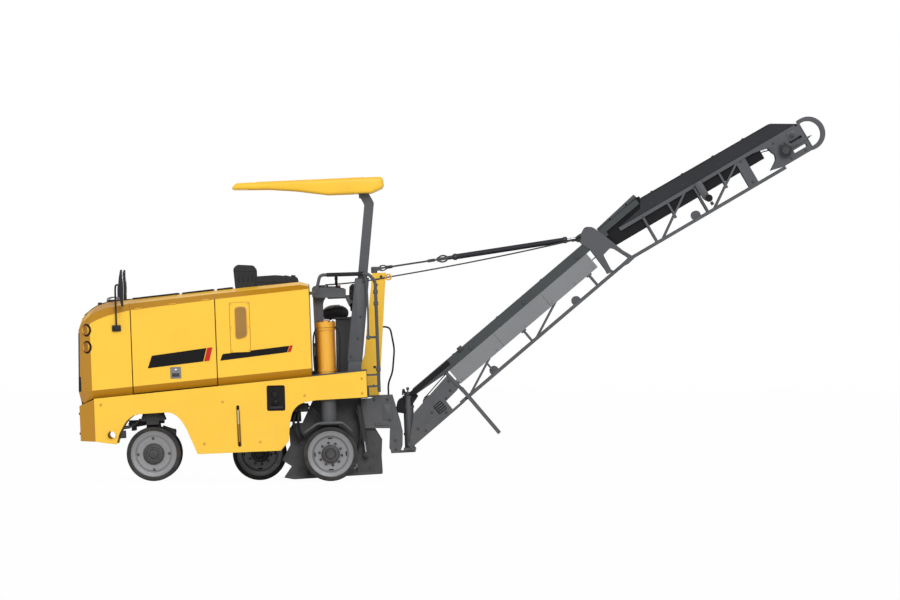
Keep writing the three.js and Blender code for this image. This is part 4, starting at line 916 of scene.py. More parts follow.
def build_vents():
    """A bolted vent panel with its oval mesh on each side of the rear hood."""
    rear = Surface("rear_hood")
    for side, word in SIDES:
        seam = painted(laid(rect(0.981, 1.187, 1.232, 1.806, 0.016), rear, 0.0015, side), "gold")
        sheet = painted(laid(rect(0.988, 1.194, 1.225, 1.799, 0.014), rear, 0.005, side, edge=0.002),
            "yellow")
        oval = [(1.052, 1.35, 0.05), (1.187, 1.38, 0.05), (1.187, 1.745, 0.05), (1.052, 1.745, 0.05)]
        rim = [(x + dx, z + dz, 0.055) for (x, z, _), (dx, dz) in zip(oval, ((-0.01, -0.01), (0.01, -0.01),
            (0.01, 0.01), (-0.01, 0.01)))]
        collar = painted(laid(rim, rear, 0.007, side, edge=0.002), "gold")
        mesh = painted(laid(oval, rear, 0.0085, side), "mesh")
        on_hull([seam, sheet, collar, mesh], word + "_vent_panel")
        spots = [(1.004, 1.212), (1.209, 1.212), (1.004, 1.5), (1.209, 1.5), (1.004, 1.782), (1.209, 1.782)]
        bolts_at([(x, rear.side(x, z, side) + side * 0.005, z) for x, z in spots], word + "_vent_bolts",
            "hull", side=side, radius=0.006, finish="gold")


def build_hood_strips():
    """Rubber seals along the hood's top edges and foot, and the two grips on the nose."""
    tops = Surface("hood_top", "hood_front", "rear_hood")
    strips = []
    for side in (-1, 1):
        for start, end in ((-0.2, 0.372), (0.408, 0.8), (0.835, 1.03)):
            z = [tops.top(x, side * 0.545) for x in (start, end)]
            strips.append(panel([(start, z[0] - 0.004), (end, z[1] - 0.004), (end - 0.01, z[1] + 0.022,
                0.006), (start + 0.01, z[0] + 0.02, 0.006)], side * 0.545 - 0.012, side * 0.545 + 0.012,
                0.003))
        crest = [tops.hit(HULL, (x, side * 0.545, 2.6), (0, 0, -1)) + Vector((0, 0, 0.004)) for x in (-0.78,
            -0.7, -0.62, -0.52, -0.42, -0.32, -0.22)]
        strips.append(hose(crest, 0.009))
    on_hull(strips, "hood_seals", "window")
    backs = [panel([(-0.6, 0.69), (1.98, 0.855), (1.98, 0.93), (-0.6, 0.765)], y - 0.005, y + 0.005, 0)
        for y in (-0.655, 0.655)]
    backs.append(panel([(-0.855, 0.612), (-0.705, 0.672), (-0.705, 0.735), (-0.855, 0.668)], -0.56, 0.56,
        0))
    on_hull(backs, "hood_foot_seals", "window")
    nose = Surface("hood_front")
    grip = []
    for side in (-1, 1):
        y = side * 0.5
        z0 = nose.top(-0.5, y)
        z1 = nose.top(-0.375, y)
        grip.append(hose([(-0.5, y, z0 - 0.02), (-0.5, y, z0 + 0.03), (-0.495, y, z0 + 0.052),
            (-0.44, y, z0 + 0.06), (-0.38, y, z1 + 0.05), (-0.375, y, z1 + 0.03), (-0.375, y, z1 - 0.02)],
            0.008))
    on_hull(grip, "hood_grips", "grey")


def build_nose():
    """Grille bars, two stacked lamps and an edge strip at each corner, and small nose fittings."""
    slats = copies(panel([(-0.842, 0.0), (-0.812, 0.006), (-0.812, 0.016), (-0.842, 0.01)], -0.418, 0.418,
        0.001), [at(0, 0, 0.905 + 0.036 * i) for i in range(15)])
    posts = [block((-0.846, y - 0.009, 0.886), (-0.806, y + 0.009, 1.434), 0.003) for y in (-0.2, 0, 0.2)]
    on_hull([slats, *posts], "grille_bars", "window")
    nose = Surface("hood_front")
    # Painted shade: a black disc under each lamp stands for its recess in the nose.
    lamp_recess_shade = turned([(0, 0.006), (0.078, 0.006), (0.078, -0.003), (0.07, -0.006), (0, -0.006)], 32)
    bowl = turned([(0.044, 0), (0.056, 0), (0.057, -0.016), (0.052, -0.024), (0.047, -0.02),
        (0.044, -0.008)], 32)
    glass = turned([(0, 0), (0.047, 0), (0.047, -0.012), (0.03, -0.018), (0, -0.021)], 32)
    lamp = joined([painted(lamp_recess_shade, "window"), painted(bowl, "gold"), painted(glass, "brass")])
    places = []
    for side in (-1, 1):
        facing = Vector((-0.74, side * 0.67, 0)).to_track_quat("-Y", "Z").to_matrix().to_4x4()
        for z in (1.328, 1.534):
            spot = nose.hit(HULL, (-1.2, side * 1.145, z), (0.74, -side * 0.67, 0))
            places.append(Matrix.Translation(spot) @ facing)
    on_hull(copies(lamp, places), "headlamps")
    edges = []
    for side in (-1, 1):
        strip = panel(rect(0, 0.79, 0.05, 1.5), -0.004, 0.004, 0.002)
        turn = Matrix.Rotation(side * math.atan2(0.095, 0.075), 4, "Z")
        moved(strip, at(-0.8835, side * 0.6, 0) @ turn)
        for vertex in strip.data.vertices:
            vertex.co.x += 0.022 * (vertex.co.z - 0.79) / 0.71
        edges.append(strip)
    on_hull(edges, "nose_edges", "window")
    feet = []
    for side in (-1, 1):
        z = nose.top(-0.6, side * 0.4)
        feet.append(rod((-0.6, side * 0.4, z - 0.01), (-0.6, side * 0.4, z + 0.035), 0.016, 16, 0.004))
    cap = nose.top(-0.45, 0.0)
    feet.append(rod((-0.45, 0, cap - 0.01), (-0.45, 0, cap + 0.028), 0.055, 24, 0.006))
    on_hull(feet, "nose_fittings", "black")


def build_skirt_details():
    """The filler window, level gauge, tie-down rings and bolts of the skirts."""
    # Painted shade: a black sheet behind the filler window's opening stands for the shade inside it.
    window_shade = panel(rect(1.38, 0.45, 1.64, 0.795, 0.03), -0.762, -0.7596, 0.0)
    pipe = rod((1.5, -0.792, 0.7), (1.5, -0.761, 0.64), 0.034, 24, 0.004)
    knob = rod((1.5, -0.794, 0.56), (1.5, -0.761, 0.56), 0.042, 8, 0.006)
    block_low = block((1.43, -0.79, 0.49), (1.59, -0.761, 0.522), 0.006)
    on_hull([painted(window_shade, "window"), painted(pipe, "black"), painted(knob, "label"),
        painted(block_low, "black")], "skirt_window")
    # Painted shade: a black sheet behind the gauge's opening stands for the shade inside it.
    gauge_window_shade = painted(panel([(1.018, 0.036, 0.02), (1.074, 0.036, 0.02), (1.07, 0.566, 0.02),
        (1.014, 0.566, 0.02)], -0.762, -0.7596, 0.0), "window")
    frame_left = painted(panel([(1.026, 0.06, 0.004), (1.033, 0.06, 0.004), (1.027, 0.545, 0.004),
        (1.02, 0.545, 0.004)], -0.806, -0.77, 0.001), "brass")
    frame_right = painted(panel([(1.063, 0.06, 0.004), (1.071, 0.06, 0.004), (1.065, 0.545, 0.004),
        (1.058, 0.545, 0.004)], -0.806, -0.77, 0.001), "brass")
    tube = painted(rod((1.048, -0.786, 0.085), (1.043, -0.786, 0.52), 0.012, 16), "tube")
    ends = [painted(rod((x, -0.786, z - 0.026), (x, -0.786, z + 0.026), 0.018, 8, 0.003), "window")
        for x, z in ((1.048, 0.08), (1.042, 0.525))]
    on_hull([gauge_window_shade, frame_left, frame_right, tube, *ends], "level_gauge")
    for side, word in SIDES:
        collar = moved(turned([(0.048, -0.006), (0.062, -0.006), (0.064, 0.002), (0.048, 0.004)], 28),
            at(-0.504, side * 0.8, 0.248) @ to_side(side))
        on_hull(collar, word + "_tie_down", "yellow")
    left = Surface("left_skirt")
    spots = [(0.86, 0.6), (1.86, 0.64), (2.56, 0.64), (2.56, 0.82), (-0.62, 0.62), (1.3, 0.1), (0.62, 0.1)]
    bolts_on(left, spots, "left_skirt_bolts", "hull", -1, 0.011, "gold")
    right = Surface("right_skirt")
    bolts_on(right, [(2.56, 0.66), (2.56, 0.82), (-0.62, 0.62), (1.3, 0.68)], "right_skirt_bolts", "hull",
        1, 0.011, "gold")


def build_exhaust():
    """Louvres, seams and ribs of the exhaust box."""
    parts = []
    for i in range(5):
        x = 1.4 + i * 0.085
        parts.append(panel([(x, 2.085), (x + 0.05, 2.085), (x + 0.062, 2.102, 0.005),
            (x + 0.012, 2.112, 0.005)], -0.33, 0.17, 0.002))
    parts.append(panel([(1.322, 2.035), (1.828, 2.02), (1.828, 2.035), (1.322, 2.05)], -0.366, 0.206,
        0.003))
    parts.append(panel([(1.048, 2.18, 0.01), (1.325, 2.165, 0.01), (1.325, 2.18, 0.01),
        (1.05, 2.196, 0.01)], -0.336, -0.004, 0.003))
    for i in range(4):
        x = 1.1 + i * 0.055
        parts.append(panel(rect(x, 2.05, x + 0.018, 2.16, 0.004), -0.336, -0.326, 0.002))
    on_hull(parts, "exhaust_trim", "black")


def build_mirrors():
    """Mirrors on their arms: foot plate, clamp, arm, and a thin curved head with its glass."""
    for side, word in SIDES:
        wall = side * 0.7903
        foot = panel(rect(-0.448, 1.505, -0.338, 1.582, 0.01), wall, wall + side * 0.02, 0.004)
        arm_y = side * 0.835
        clamp = rod((-0.392, arm_y, 1.518), (-0.392, arm_y, 1.568), 0.026, 20, 0.005)
        bridge = block((-0.41, min(wall, arm_y), 1.524), (-0.374, max(wall, arm_y), 1.562), 0.004)
        arm = hose([(-0.392, arm_y, 1.53), (-0.392, arm_y, 1.8), (-0.392, arm_y, 2.02),
            (-0.385, arm_y, 2.07), (-0.36, side * 0.87, 2.075), (-0.325, side * 0.91, 2.06)], 0.0115)
        edges = sorted((side * 0.815, side * 1.012))
        head = panel([(-0.296, 1.8, 0.02), (-0.288, 2.03), (-0.296, 2.256, 0.02), (-0.318, 2.25, 0.01),
            (-0.346, 2.12, 0.08), (-0.346, 1.93, 0.08), (-0.318, 1.806, 0.01)], *edges, 0.008)
        glass = panel([(-0.293, 1.825, 0.002), (-0.2845, 2.03), (-0.293, 2.231, 0.002), (-0.297, 2.231),
            (-0.297, 1.825)], edges[0] + 0.012, edges[1] - 0.012, 0.001)
        pieces = [painted(p, "black") for p in (foot, clamp, bridge, arm, head)]
        mirror = on_hull([*pieces, painted(glass, "glass")], word + "_mirror_head")
        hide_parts(word + "_mirror")
        spots = [(x, wall + side * 0.02, z) for x in (-0.436, -0.35) for z in (1.517, 1.57)]
        bolts_at(spots, word + "_mirror_bolts", "hull", side=side, radius=0.007)


# ---- Running gear -------------------------------------------------------------------------------
def build_steering():
    """Axle caps, steering levers, cylinder and valve, and a hanger at the left knuckle."""
    for side, word in SIDES:
        body = word + "_knuckle"
        y = side * 0.6
        cap = rod((0, y, 0.49), (0, y, 0.512), 0.05, 28, 0.006)
        bracket = panel([(-0.15, 0.4, 0.02), (0.15, 0.4, 0.02), (0.12, 0.482, 0.02), (-0.12, 0.482, 0.02)],
            side * 0.655, side * 0.668, 0.002)
        spots = [rod((x, side * 0.666, z), (x, side * 0.684, z), 0.013, 6, 0.002) for x in (-0.1, 0.1)
            for z in (0.43, 0.465)]
        on_hull([cap, bracket, *spots], word + "_axle_cap", "chassis")
        lever = panel([(-0.3, 0.33, 0.015), (-0.235, 0.33, 0.015), (-0.08, 0.35, 0.01),
            (-0.08, 0.392, 0.01), (-0.3, 0.392, 0.015)], side * 0.42, side * 0.432, 0.002)
        knob = rod((-0.24, side * 0.412, 0.3), (-0.24, side * 0.412, 0.395), 0.021, 16, 0.004)
        settle([lever, knob], word + "_steer_lever", HULL, body, "chassis")
    cylinder = rod((-0.2, -0.36, 0.515), (-0.2, 0.1, 0.515), 0.036, 24, 0.004)
    ram = painted(rod((-0.2, -0.6, 0.515), (-0.2, -0.34, 0.515), 0.015, 16), "steel")
    on_hull([painted(cylinder, "chassis"), ram], "steering_cylinder")
    servo = [painted(block((-0.425, -0.755, 0.205), (-0.325, -0.7, 0.3), 0.01), "chassis"),
        painted(rod((-0.43, -0.728, 0.322), (-0.27, -0.728, 0.342), 0.02, 20, 0.005), "hub"),
        painted(hose([(-0.28, -0.73, 0.342), (-0.24, -0.72, 0.35), (-0.19, -0.7, 0.375),
        (-0.15, -0.66, 0.43)], 0.012), "hose")]
    on_hull(servo, "steering_valve")
    hanger = [painted(panel([(0.12, 0.345, 0.01), (0.24, 0.3, 0.02), (0.285, 0.29, 0.02),
        (0.275, 0.2, 0.02), (0.215, 0.2, 0.02), (0.12, 0.305, 0.01)], -0.44, -0.425, 0.004), "chassis"),
        painted(rod((0.25, -0.45, 0.25), (0.25, -0.42, 0.25), 0.024, 20, 0.004), "hub")]
    settle(hanger, "knuckle_hanger", HULL, "left_knuckle")


COLUMN_X = 2.146
COLUMN_Y = -0.645


def build_column():
    """Cap, rings, height scale and hoses of the left lifting column."""
    top = copies(hex_bolt(0.012, 0.012), [at(COLUMN_X, COLUMN_Y, 1.525) @ about("Z", 60 * i) @ at(0.088, 0,
        0) @ about("X", -90) for i in range(6)])
    cap = moved(turned([(0, 0), (0.06, 0), (0.058, 0.016), (0.03, 0.024), (0, 0.024)], 28),
        at(COLUMN_X, COLUMN_Y, 1.522) @ UPRIGHT)
    on_hull([painted(top, "hub"), painted(cap, "gold")], "column_cap")

    def ring(z, out):
        band = turned(rect(0.1105, -0.012, out, 0.012), 40)
        return moved(band, at(COLUMN_X, COLUMN_Y, z) @ UPRIGHT)
    on_hull([ring(0.93, 0.119), ring(1.435, 0.122)], "column_rings", "gold")
    scale = [block((2.0325, COLUMN_Y - 0.018, 0.97 + 0.06 * i),
        (2.0375, COLUMN_Y + (0.018 if i % 4 else 0.03), 0.978 + 0.06 * i), 0.0008) for i in range(8)]
    on_hull(scale, "height_scale", "hub")
    lines = [hose([(2.04, COLUMN_Y - 0.05, 1.44), (1.99, COLUMN_Y - 0.06, 1.42), (1.985, COLUMN_Y - 0.06,
        1.2), (1.99, COLUMN_Y - 0.05, 0.95), (2.0, COLUMN_Y - 0.04, 0.895)], 0.01),
        hose([(2.255, COLUMN_Y - 0.04, 1.46), (2.31, COLUMN_Y - 0.05, 1.44), (2.315, COLUMN_Y - 0.05, 1.25),
        (2.3, COLUMN_Y - 0.04, 1.05), (2.295, COLUMN_Y - 0.04, 0.9)], 0.01)]
    on_hull(lines, "column_hoses", "hose")


def build_drum_picks(settings):
    """Point-attack picks in holders, wound around the drum from both ends."""
    holder = block((-0.03, -0.02, -0.006), (0.03, 0.02, 0.03), 0.004)
    shank = rod((0.0, 0, 0.015), (0.03, 0, 0.038), 0.017, 12)
    bpy.ops.object.select_all(action="DESELECT")
    bpy.ops.mesh.primitive_cone_add(vertices=12, radius1=0.016, radius2=0.004, depth=0.03,
        location=(0.037, 0, 0.043), rotation=(0, math.radians(52), 0))
    tip = fix_place()
    pick = joined([painted(holder, "drum"), painted(shank, "hub"), painted(tip, "steel")])
    places = []
    for i in range(settings.picks):
        t = i / (settings.picks - 1)
        angle = 2 * math.pi * 4.6 * abs(t - 0.5) * 2 + (math.pi if t > 0.5 else 0)
        y = -0.3 + 0.96 * t
        places.append(Matrix.Rotation(angle, 4, "Y") @ at(0, y, 0.35))
    settle(copies(pick, places), "drum_picks", at_joint("drum_spin"), "milling_drum")


def build_side_plates():
    """Wear shoes with slots, bolts and an eyelet on the drum's side plates."""
    for side, word, wall in ((-1, "left", 0.3804), (1, "right", 0.7404)):
        y = side * wall
        # Painted shade: thin black strips stand for the slots in the side plate.
        slot_shades = []
        for i in range(6):
            x = 1.86 + 0.118 * i
            slot_shades.append(panel([(x, -0.34, 0.006), (x + 0.012, -0.34, 0.006), (x + 0.02, -0.235, 0.006),
                (x + 0.006, -0.235, 0.006)], y, y + side * 0.0015, 0.0))
        shoe = panel([(1.6, -0.352, 0.012), (1.69, -0.376, 0.01), (2.7, -0.352, 0.01), (2.7, -0.318, 0.008),
            (1.66, -0.336, 0.01)], y - side * 0.004, y + side * 0.012, 0.003)
        on_hull([painted(shoe, "sideplate"), *[painted(t, "window") for t in slot_shades]], word + "_wear_shoe")
        spots = [(1.74, 0.1), (1.74, -0.1), (1.76, -0.27), (2.62, -0.27), (2.68, 0.02), (2.66, -0.12),
            (2.1, -0.29), (2.4, -0.29)]
        bolts_at([(x, y, z) for x, z in spots], word + "_plate_bolts", "hull", side=side, radius=0.013)
        eyelet = moved(turned(rect(0.018, -0.006, 0.036, 0.002), 24), at(2.43, y, -0.24) @ to_side(side))
        on_hull(eyelet, word + "_plate_eyelet", "rim")


def build_chamber_fittings():
    """Hoses, valve block and lift cylinder at the drum chamber's left side, and the mudguard's lip."""
    lines = [hose([(1.76, -0.5, 0.46), (1.72, -0.56, 0.4), (1.7, -0.57, 0.28), (1.72, -0.52, 0.16),
        (1.78, -0.46, 0.08)], 0.016), hose([(1.8, -0.52, 0.5), (1.77, -0.58, 0.42), (1.76, -0.58, 0.3),
        (1.78, -0.52, 0.18), (1.82, -0.44, 0.12)], 0.016),
        hose([(2.46, -0.52, 0.46), (2.52, -0.6, 0.36), (2.54, -0.6, 0.2), (2.5, -0.54, 0.02),
        (2.46, -0.44, -0.06)], 0.016), hose([(1.84, -0.5, 0.54), (1.9, -0.6, 0.52), (2.0, -0.62, 0.44),
        (2.02, -0.56, 0.36)], 0.012)]
    on_hull(lines, "chamber_hoses", "hose")
    block_body = painted(block((1.72, -0.56, 0.44), (1.9, -0.44, 0.545), 0.008), "chassis")
    caps = [painted(rod((1.75 + 0.05 * i, -0.55, 0.47), (1.75 + 0.05 * i, -0.59, 0.47), 0.014, 6, 0.002),
        "hub") for i in range(3)]
    cylinder = painted(rod((2.5, -0.47, 0.5), (2.56, -0.47, 0.05), 0.04, 24, 0.004), "chassis")
    ram = painted(rod((2.555, -0.47, 0.1), (2.575, -0.47, -0.1), 0.018, 16), "steel")
    eye = painted(rod((2.575, -0.5, -0.11), (2.575, -0.4, -0.11), 0.034, 24, 0.004), "chassis")
    on_hull([block_body, *caps, cylinder, ram, eye], "chamber_valves")
    guard = panel([(1.838, 0.18, 0.01), (2.003, 0.286, 0.04), (2.307, 0.286, 0.04), (2.428, 0.18, 0.01),
        (2.415, 0.205, 0.01), (2.307, 0.309, 0.04), (2.003, 0.309, 0.04), (1.845, 0.205, 0.01)], -0.792,
        -0.77, 0.003)
    on_hull(guard, "mudguard_lip", "dark")


# ---- Operator's place ---------------------------------------------------------------------------
def cushion(points, y0, y1, drift):
    """A stuffed pad: a plate's shape, remeshed, blown up with cloth pressure and smoothed."""
    pad = panel(points, y0, y1, 0.02)
    with_modifier(pad, "REMESH", mode="VOXEL", voxel_size=0.006)
    before = [vertex.co.copy() for vertex in pad.data.vertices]
    only(pad)
    cloth = pad.modifiers.new("Cloth", "CLOTH")
    cloth.settings.use_pressure = True
    cloth.settings.uniform_pressure_force = 4.0
    cloth.settings.effector_weights.gravity = 0.0
    cloth.point_cache.frame_start = 1
    cloth.point_cache.frame_end = 20
    for step in range(1, 21):
        bpy.context.scene.frame_set(step)
    bpy.ops.object.modifier_apply(modifier=cloth.name)
    for vertex, start in zip(pad.data.vertices, before):
        gone = vertex.co - start
        if gone.length > drift:
            vertex.co = start + gone.normalized() * drift
    bpy.context.scene.frame_set(1)
    with_modifier(pad, "SMOOTH", factor=0.5, iterations=8)
    return pad


def channel(pad, where, axis, depth, width):
    """Presses a sewn channel into a pad, at a place along an axis."""
    for vertex in pad.data.vertices:
        away = abs(vertex.co[axis] - where) / width
        if away < 1:
            centre = vertex.normal
            vertex.co -= centre * depth * (1 - away ** 2) ** 2
    return pad


def build_seat():
    """Padded cushion and back with sewn channels, on a shell with its base, lever and armrest."""
    pad = cushion([(2.105, 1.572, 0.02), (2.425, 1.572, 0.02), (2.425, 1.66, 0.04), (2.375, 1.695, 0.05),
        (2.25, 1.712, 0.06), (2.115, 1.672, 0.05), (2.085, 1.615, 0.02)], 0.125, 0.555, 0.024)
    channel(pad, 0.235, 1, 0.009, 0.014)
    channel(pad, 0.445, 1, 0.009, 0.014)
    channel(pad, 2.33, 0, 0.007, 0.014)
    with_modifier(pad, "SUBSURF", levels=1, render_levels=1)
    on_hull(pad, "seat_pad", "seat")
    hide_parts("seat_cushion")
    back = cushion([(2.452, 1.7, 0.02), (2.49, 1.69, 0.02), (2.52, 1.96, 0.03), (2.5, 1.985, 0.03),
        (2.47, 1.98, 0.03)], 0.165, 0.515, 0.022)
    channel(back, 0.255, 1, 0.007, 0.012)
    channel(back, 0.425, 1, 0.007, 0.012)
    with_modifier(back, "SUBSURF", levels=1, render_levels=1)
    on_hull(back, "seat_back_pad", "seat")
    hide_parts("seat_back")
    shell = painted(panel([(2.09, 1.551, 0.01), (2.47, 1.551, 0.03), (2.505, 1.62, 0.03),
        (2.54, 1.985, 0.02), (2.53, 1.995, 0.005), (2.52, 1.985, 0.02), (2.488, 1.64, 0.03),
        (2.455, 1.575, 0.02), (2.09, 1.568, 0.005)], 0.15, 0.53, 0.005), "console")
    base = painted(block((2.262, 0.215, 1.53), (2.455, 0.465, 1.56), 0.006), "chassis")
    lever = painted(rod((2.2, 0.11, 1.56), (2.2, 0.16, 1.56), 0.01, 12, 0.002), "label")
    knob = painted(rod((2.2, 0.09, 1.56), (2.2, 0.115, 1.56), 0.02, 20, 0.005), "label")
    on_hull([shell, base, lever, knob], "seat_shell")
    arm = painted(panel([(2.175, 1.8, 0.02), (2.48, 1.8, 0.02), (2.48, 1.84, 0.02), (2.165, 1.84, 0.02)],
        0.085, 0.135, 0.01), "seat")
    bracket = painted(panel([(2.45, 1.64, 0.01), (2.485, 1.64, 0.01), (2.475, 1.805, 0.01),
        (2.44, 1.805, 0.01)], 0.136, 0.148, 0.002), "chassis")
    on_hull([arm, bracket], "seat_armrest")


def build_console():
    """The console's panel, screen, buttons and joystick, its arm, hatch strut, lid and cable."""
    tilt_panel = painted(panel([(2.01, 1.95, 0.008), (2.27, 1.94, 0.008), (2.386, 1.914, 0.008),
        (2.392, 1.922, 0.004), (2.272, 1.953, 0.008), (2.008, 1.963, 0.004)], -0.395, 0.155, 0.002),
        "label")
    screen = painted(block((2.04, -0.33, 1.96), (2.19, -0.12, 1.972), 0.004), "window")
    buttons = copies(rod((0, 0, 0), (0, 0, 0.014), 0.009, 12, 0.002),
        [at(2.045 + 0.045 * i, 0.0 + 0.045 * j, 1.96 - 0.002 * i) for i in range(4) for j in range(3)])
    buttons = painted(buttons, "hub")
    red = painted(rod((2.32, 0.1, 1.93), (2.32, 0.1, 1.966), 0.02, 24, 0.006), "red")
    on_hull([tilt_panel, screen, buttons, red], "console_panel")
    stick = rod((2.3, -0.2, 1.92), (2.292, -0.2, 1.985), 0.01, 16)
    boot = moved(turned([(0, 0), (0.04, 0), (0.036, 0.008), (0.026, 0.012), (0.024, 0.02), (0.016, 0.026),
        (0, 0.028)], 24), at(2.3, -0.2, 1.935) @ UPRIGHT)
    grip = moved(turned([(0, 0.0), (0.014, 0.0), (0.019, 0.02), (0.016, 0.05), (0.021, 0.082),
        (0.018, 0.102), (0.008, 0.112), (0, 0.113)], 24), at(2.292, -0.2, 1.965) @ UPRIGHT)
    on_hull([stick, boot, grip], "joystick", "window")
    arm = painted(panel([(2.392, 1.812, 0.01), (2.428, 1.842, 0.02), (2.49, 1.742, 0.02),
        (2.47, 1.69, 0.02), (2.44, 1.7, 0.01)], -0.34, -0.28, 0.006), "console")
    lamp = painted(rod((2.475, -0.34, 1.715), (2.475, -0.28, 1.715), 0.032, 24, 0.006), "label")
    on_hull([arm, lamp], "console_arm")
    strut = painted(rod((1.998, -0.45, 0.905), (2.0, -0.45, 1.12), 0.016, 18, 0.002), "window")
    ram = painted(rod((2.0, -0.45, 1.1), (2.001, -0.45, 1.245), 0.008, 14), "steel")
    knobs = [painted(rod((x, -0.48, z), (x, -0.42, z), 0.022, 18, 0.004), "hub")
        for x, z in ((1.998, 0.895), (2.001, 1.25))]
    on_hull([strut, ram, *knobs], "hatch_strut")
    lid = painted(panel(rect(2.005, 0.98, 2.125, 1.46, 0.01), -0.262, -0.252, 0.002), "console")
    cable = painted(hose([(2.13, -0.2, 1.5), (2.165, -0.24, 1.4), (2.18, -0.26, 1.1), (2.17, -0.25, 0.92)],
        0.012), "hose")
    on_hull([lid, cable], "console_lid")


ROOF_OUTLINE = [(2.761, 3.0683), (2.915, 3.129), (2.906, 3.262), (1.119, 3.25), (1.058, 3.174),
    (1.508, 3.163), (1.837, 3.131), (2.034, 3.1), (2.231, 3.0683)]
RAIL_Y = -0.7


def build_rails_and_canopy():
    """The second rail tube with its clamps and sleeve, the post plates, the roof shell and its ribs."""
    rail = hose([(2.645, RAIL_Y, 2.085), (2.664, RAIL_Y, 1.95), (2.671, RAIL_Y, 1.806),
        (2.665, RAIL_Y, 1.55), (2.66, RAIL_Y, 1.33)], 0.012)
    clamps = [rod((2.66, -0.735, 1.316), (2.66, -0.665, 1.316), 0.03, 24, 0.006), rod((2.66, RAIL_Y, 1.316),
        (2.767, RAIL_Y, 1.316), 0.014, 16)]
    collar = [rod((2.7672, RAIL_Y, z), (2.7672, RAIL_Y, z + 0.05), 0.029, 20, 0.006) for z in (0.9, 1.7,
        1.84)]
    on_hull([rail, *clamps, *collar], "rail_clamps", "dark")
    sleeve = rod((2.18, RAIL_Y, 2.0941), (2.62, RAIL_Y, 2.0908), 0.0245, 20, 0.003)
    on_hull(sleeve, "rail_sleeve", "hose")
    for side, word in SIDES:
        y = side * 0.63
        plate = painted(panel([(2.392, 1.038, 0.01), (2.565, 1.031, 0.01), (2.656, 2.034, 0.01),
            (2.522, 2.034, 0.01)], y, y + side * 0.008, 0.002), "dark")
        on_hull(plate, word + "_post_plate")
        spots = [(2.533, 1.303), (2.574, 1.57), (2.622, 1.995), (2.44, 1.09)]
        bolts_at([(x, y + side * 0.008, z) for x, z in spots], word + "_post_bolts", "hull", side=side,
            radius=0.012)
    roof = Surface("canopy_roof")
    shell = softened(panel(ROOF_OUTLINE, -0.8197, 0.8197, 0), 0.045, 4)
    hollow = block((1.25, -0.74, 3.0), (2.55, 0.74, 3.2), 0.002)
    only(shell)
    cut = shell.modifiers.new("Hollow", "BOOLEAN")
    cut.object = hollow
    bpy.ops.object.modifier_apply(modifier=cut.name)
    bpy.data.objects.remove(hollow)
    on_hull(shell, "roof_shell", "roof")
    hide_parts("canopy_roof")
    ribs = [panel([(1.35, roof.top(1.35, y, 4) - 0.003), (2.7, roof.top(2.7, y, 4) - 0.003),
        (2.68, roof.top(2.68, y, 4) + 0.006, 0.01), (1.37, roof.top(1.37, y, 4) + 0.006, 0.01)], y - 0.03,
        y + 0.03, 0.003) for y in (-0.5, -0.25, 0.0, 0.25, 0.5)]
    on_hull(ribs, "roof_ribs", "roof")


# ---- Conveyor -----------------------------------------------------------------------------------
def build_belt_cleats():
    """Chevron cleats moulded on the belt's carrying run."""
    chevron = panel([(-0.1, -0.215), (0.0, 0.0, 0.02), (-0.1, 0.215), (-0.082, 0.215), (0.02, 0.0, 0.02),
        (-0.082, -0.215)], 0.0, 0.014, 0.003)
    moved(chevron, UPRIGHT)
    low = [offset(LOWER, 0.95 + 0.25 * i, 0.4405) for i in range(10)]
    high = [offset(UPPER, 0.25 + 0.25 * i, 0.4305) for i in range(8)]
    on_conveyor(copies(chevron, low + high), "belt_cleats", WORLD, "belt")


TRUSS_SIDE = 0.338  # outer face of the side frames, from the middle


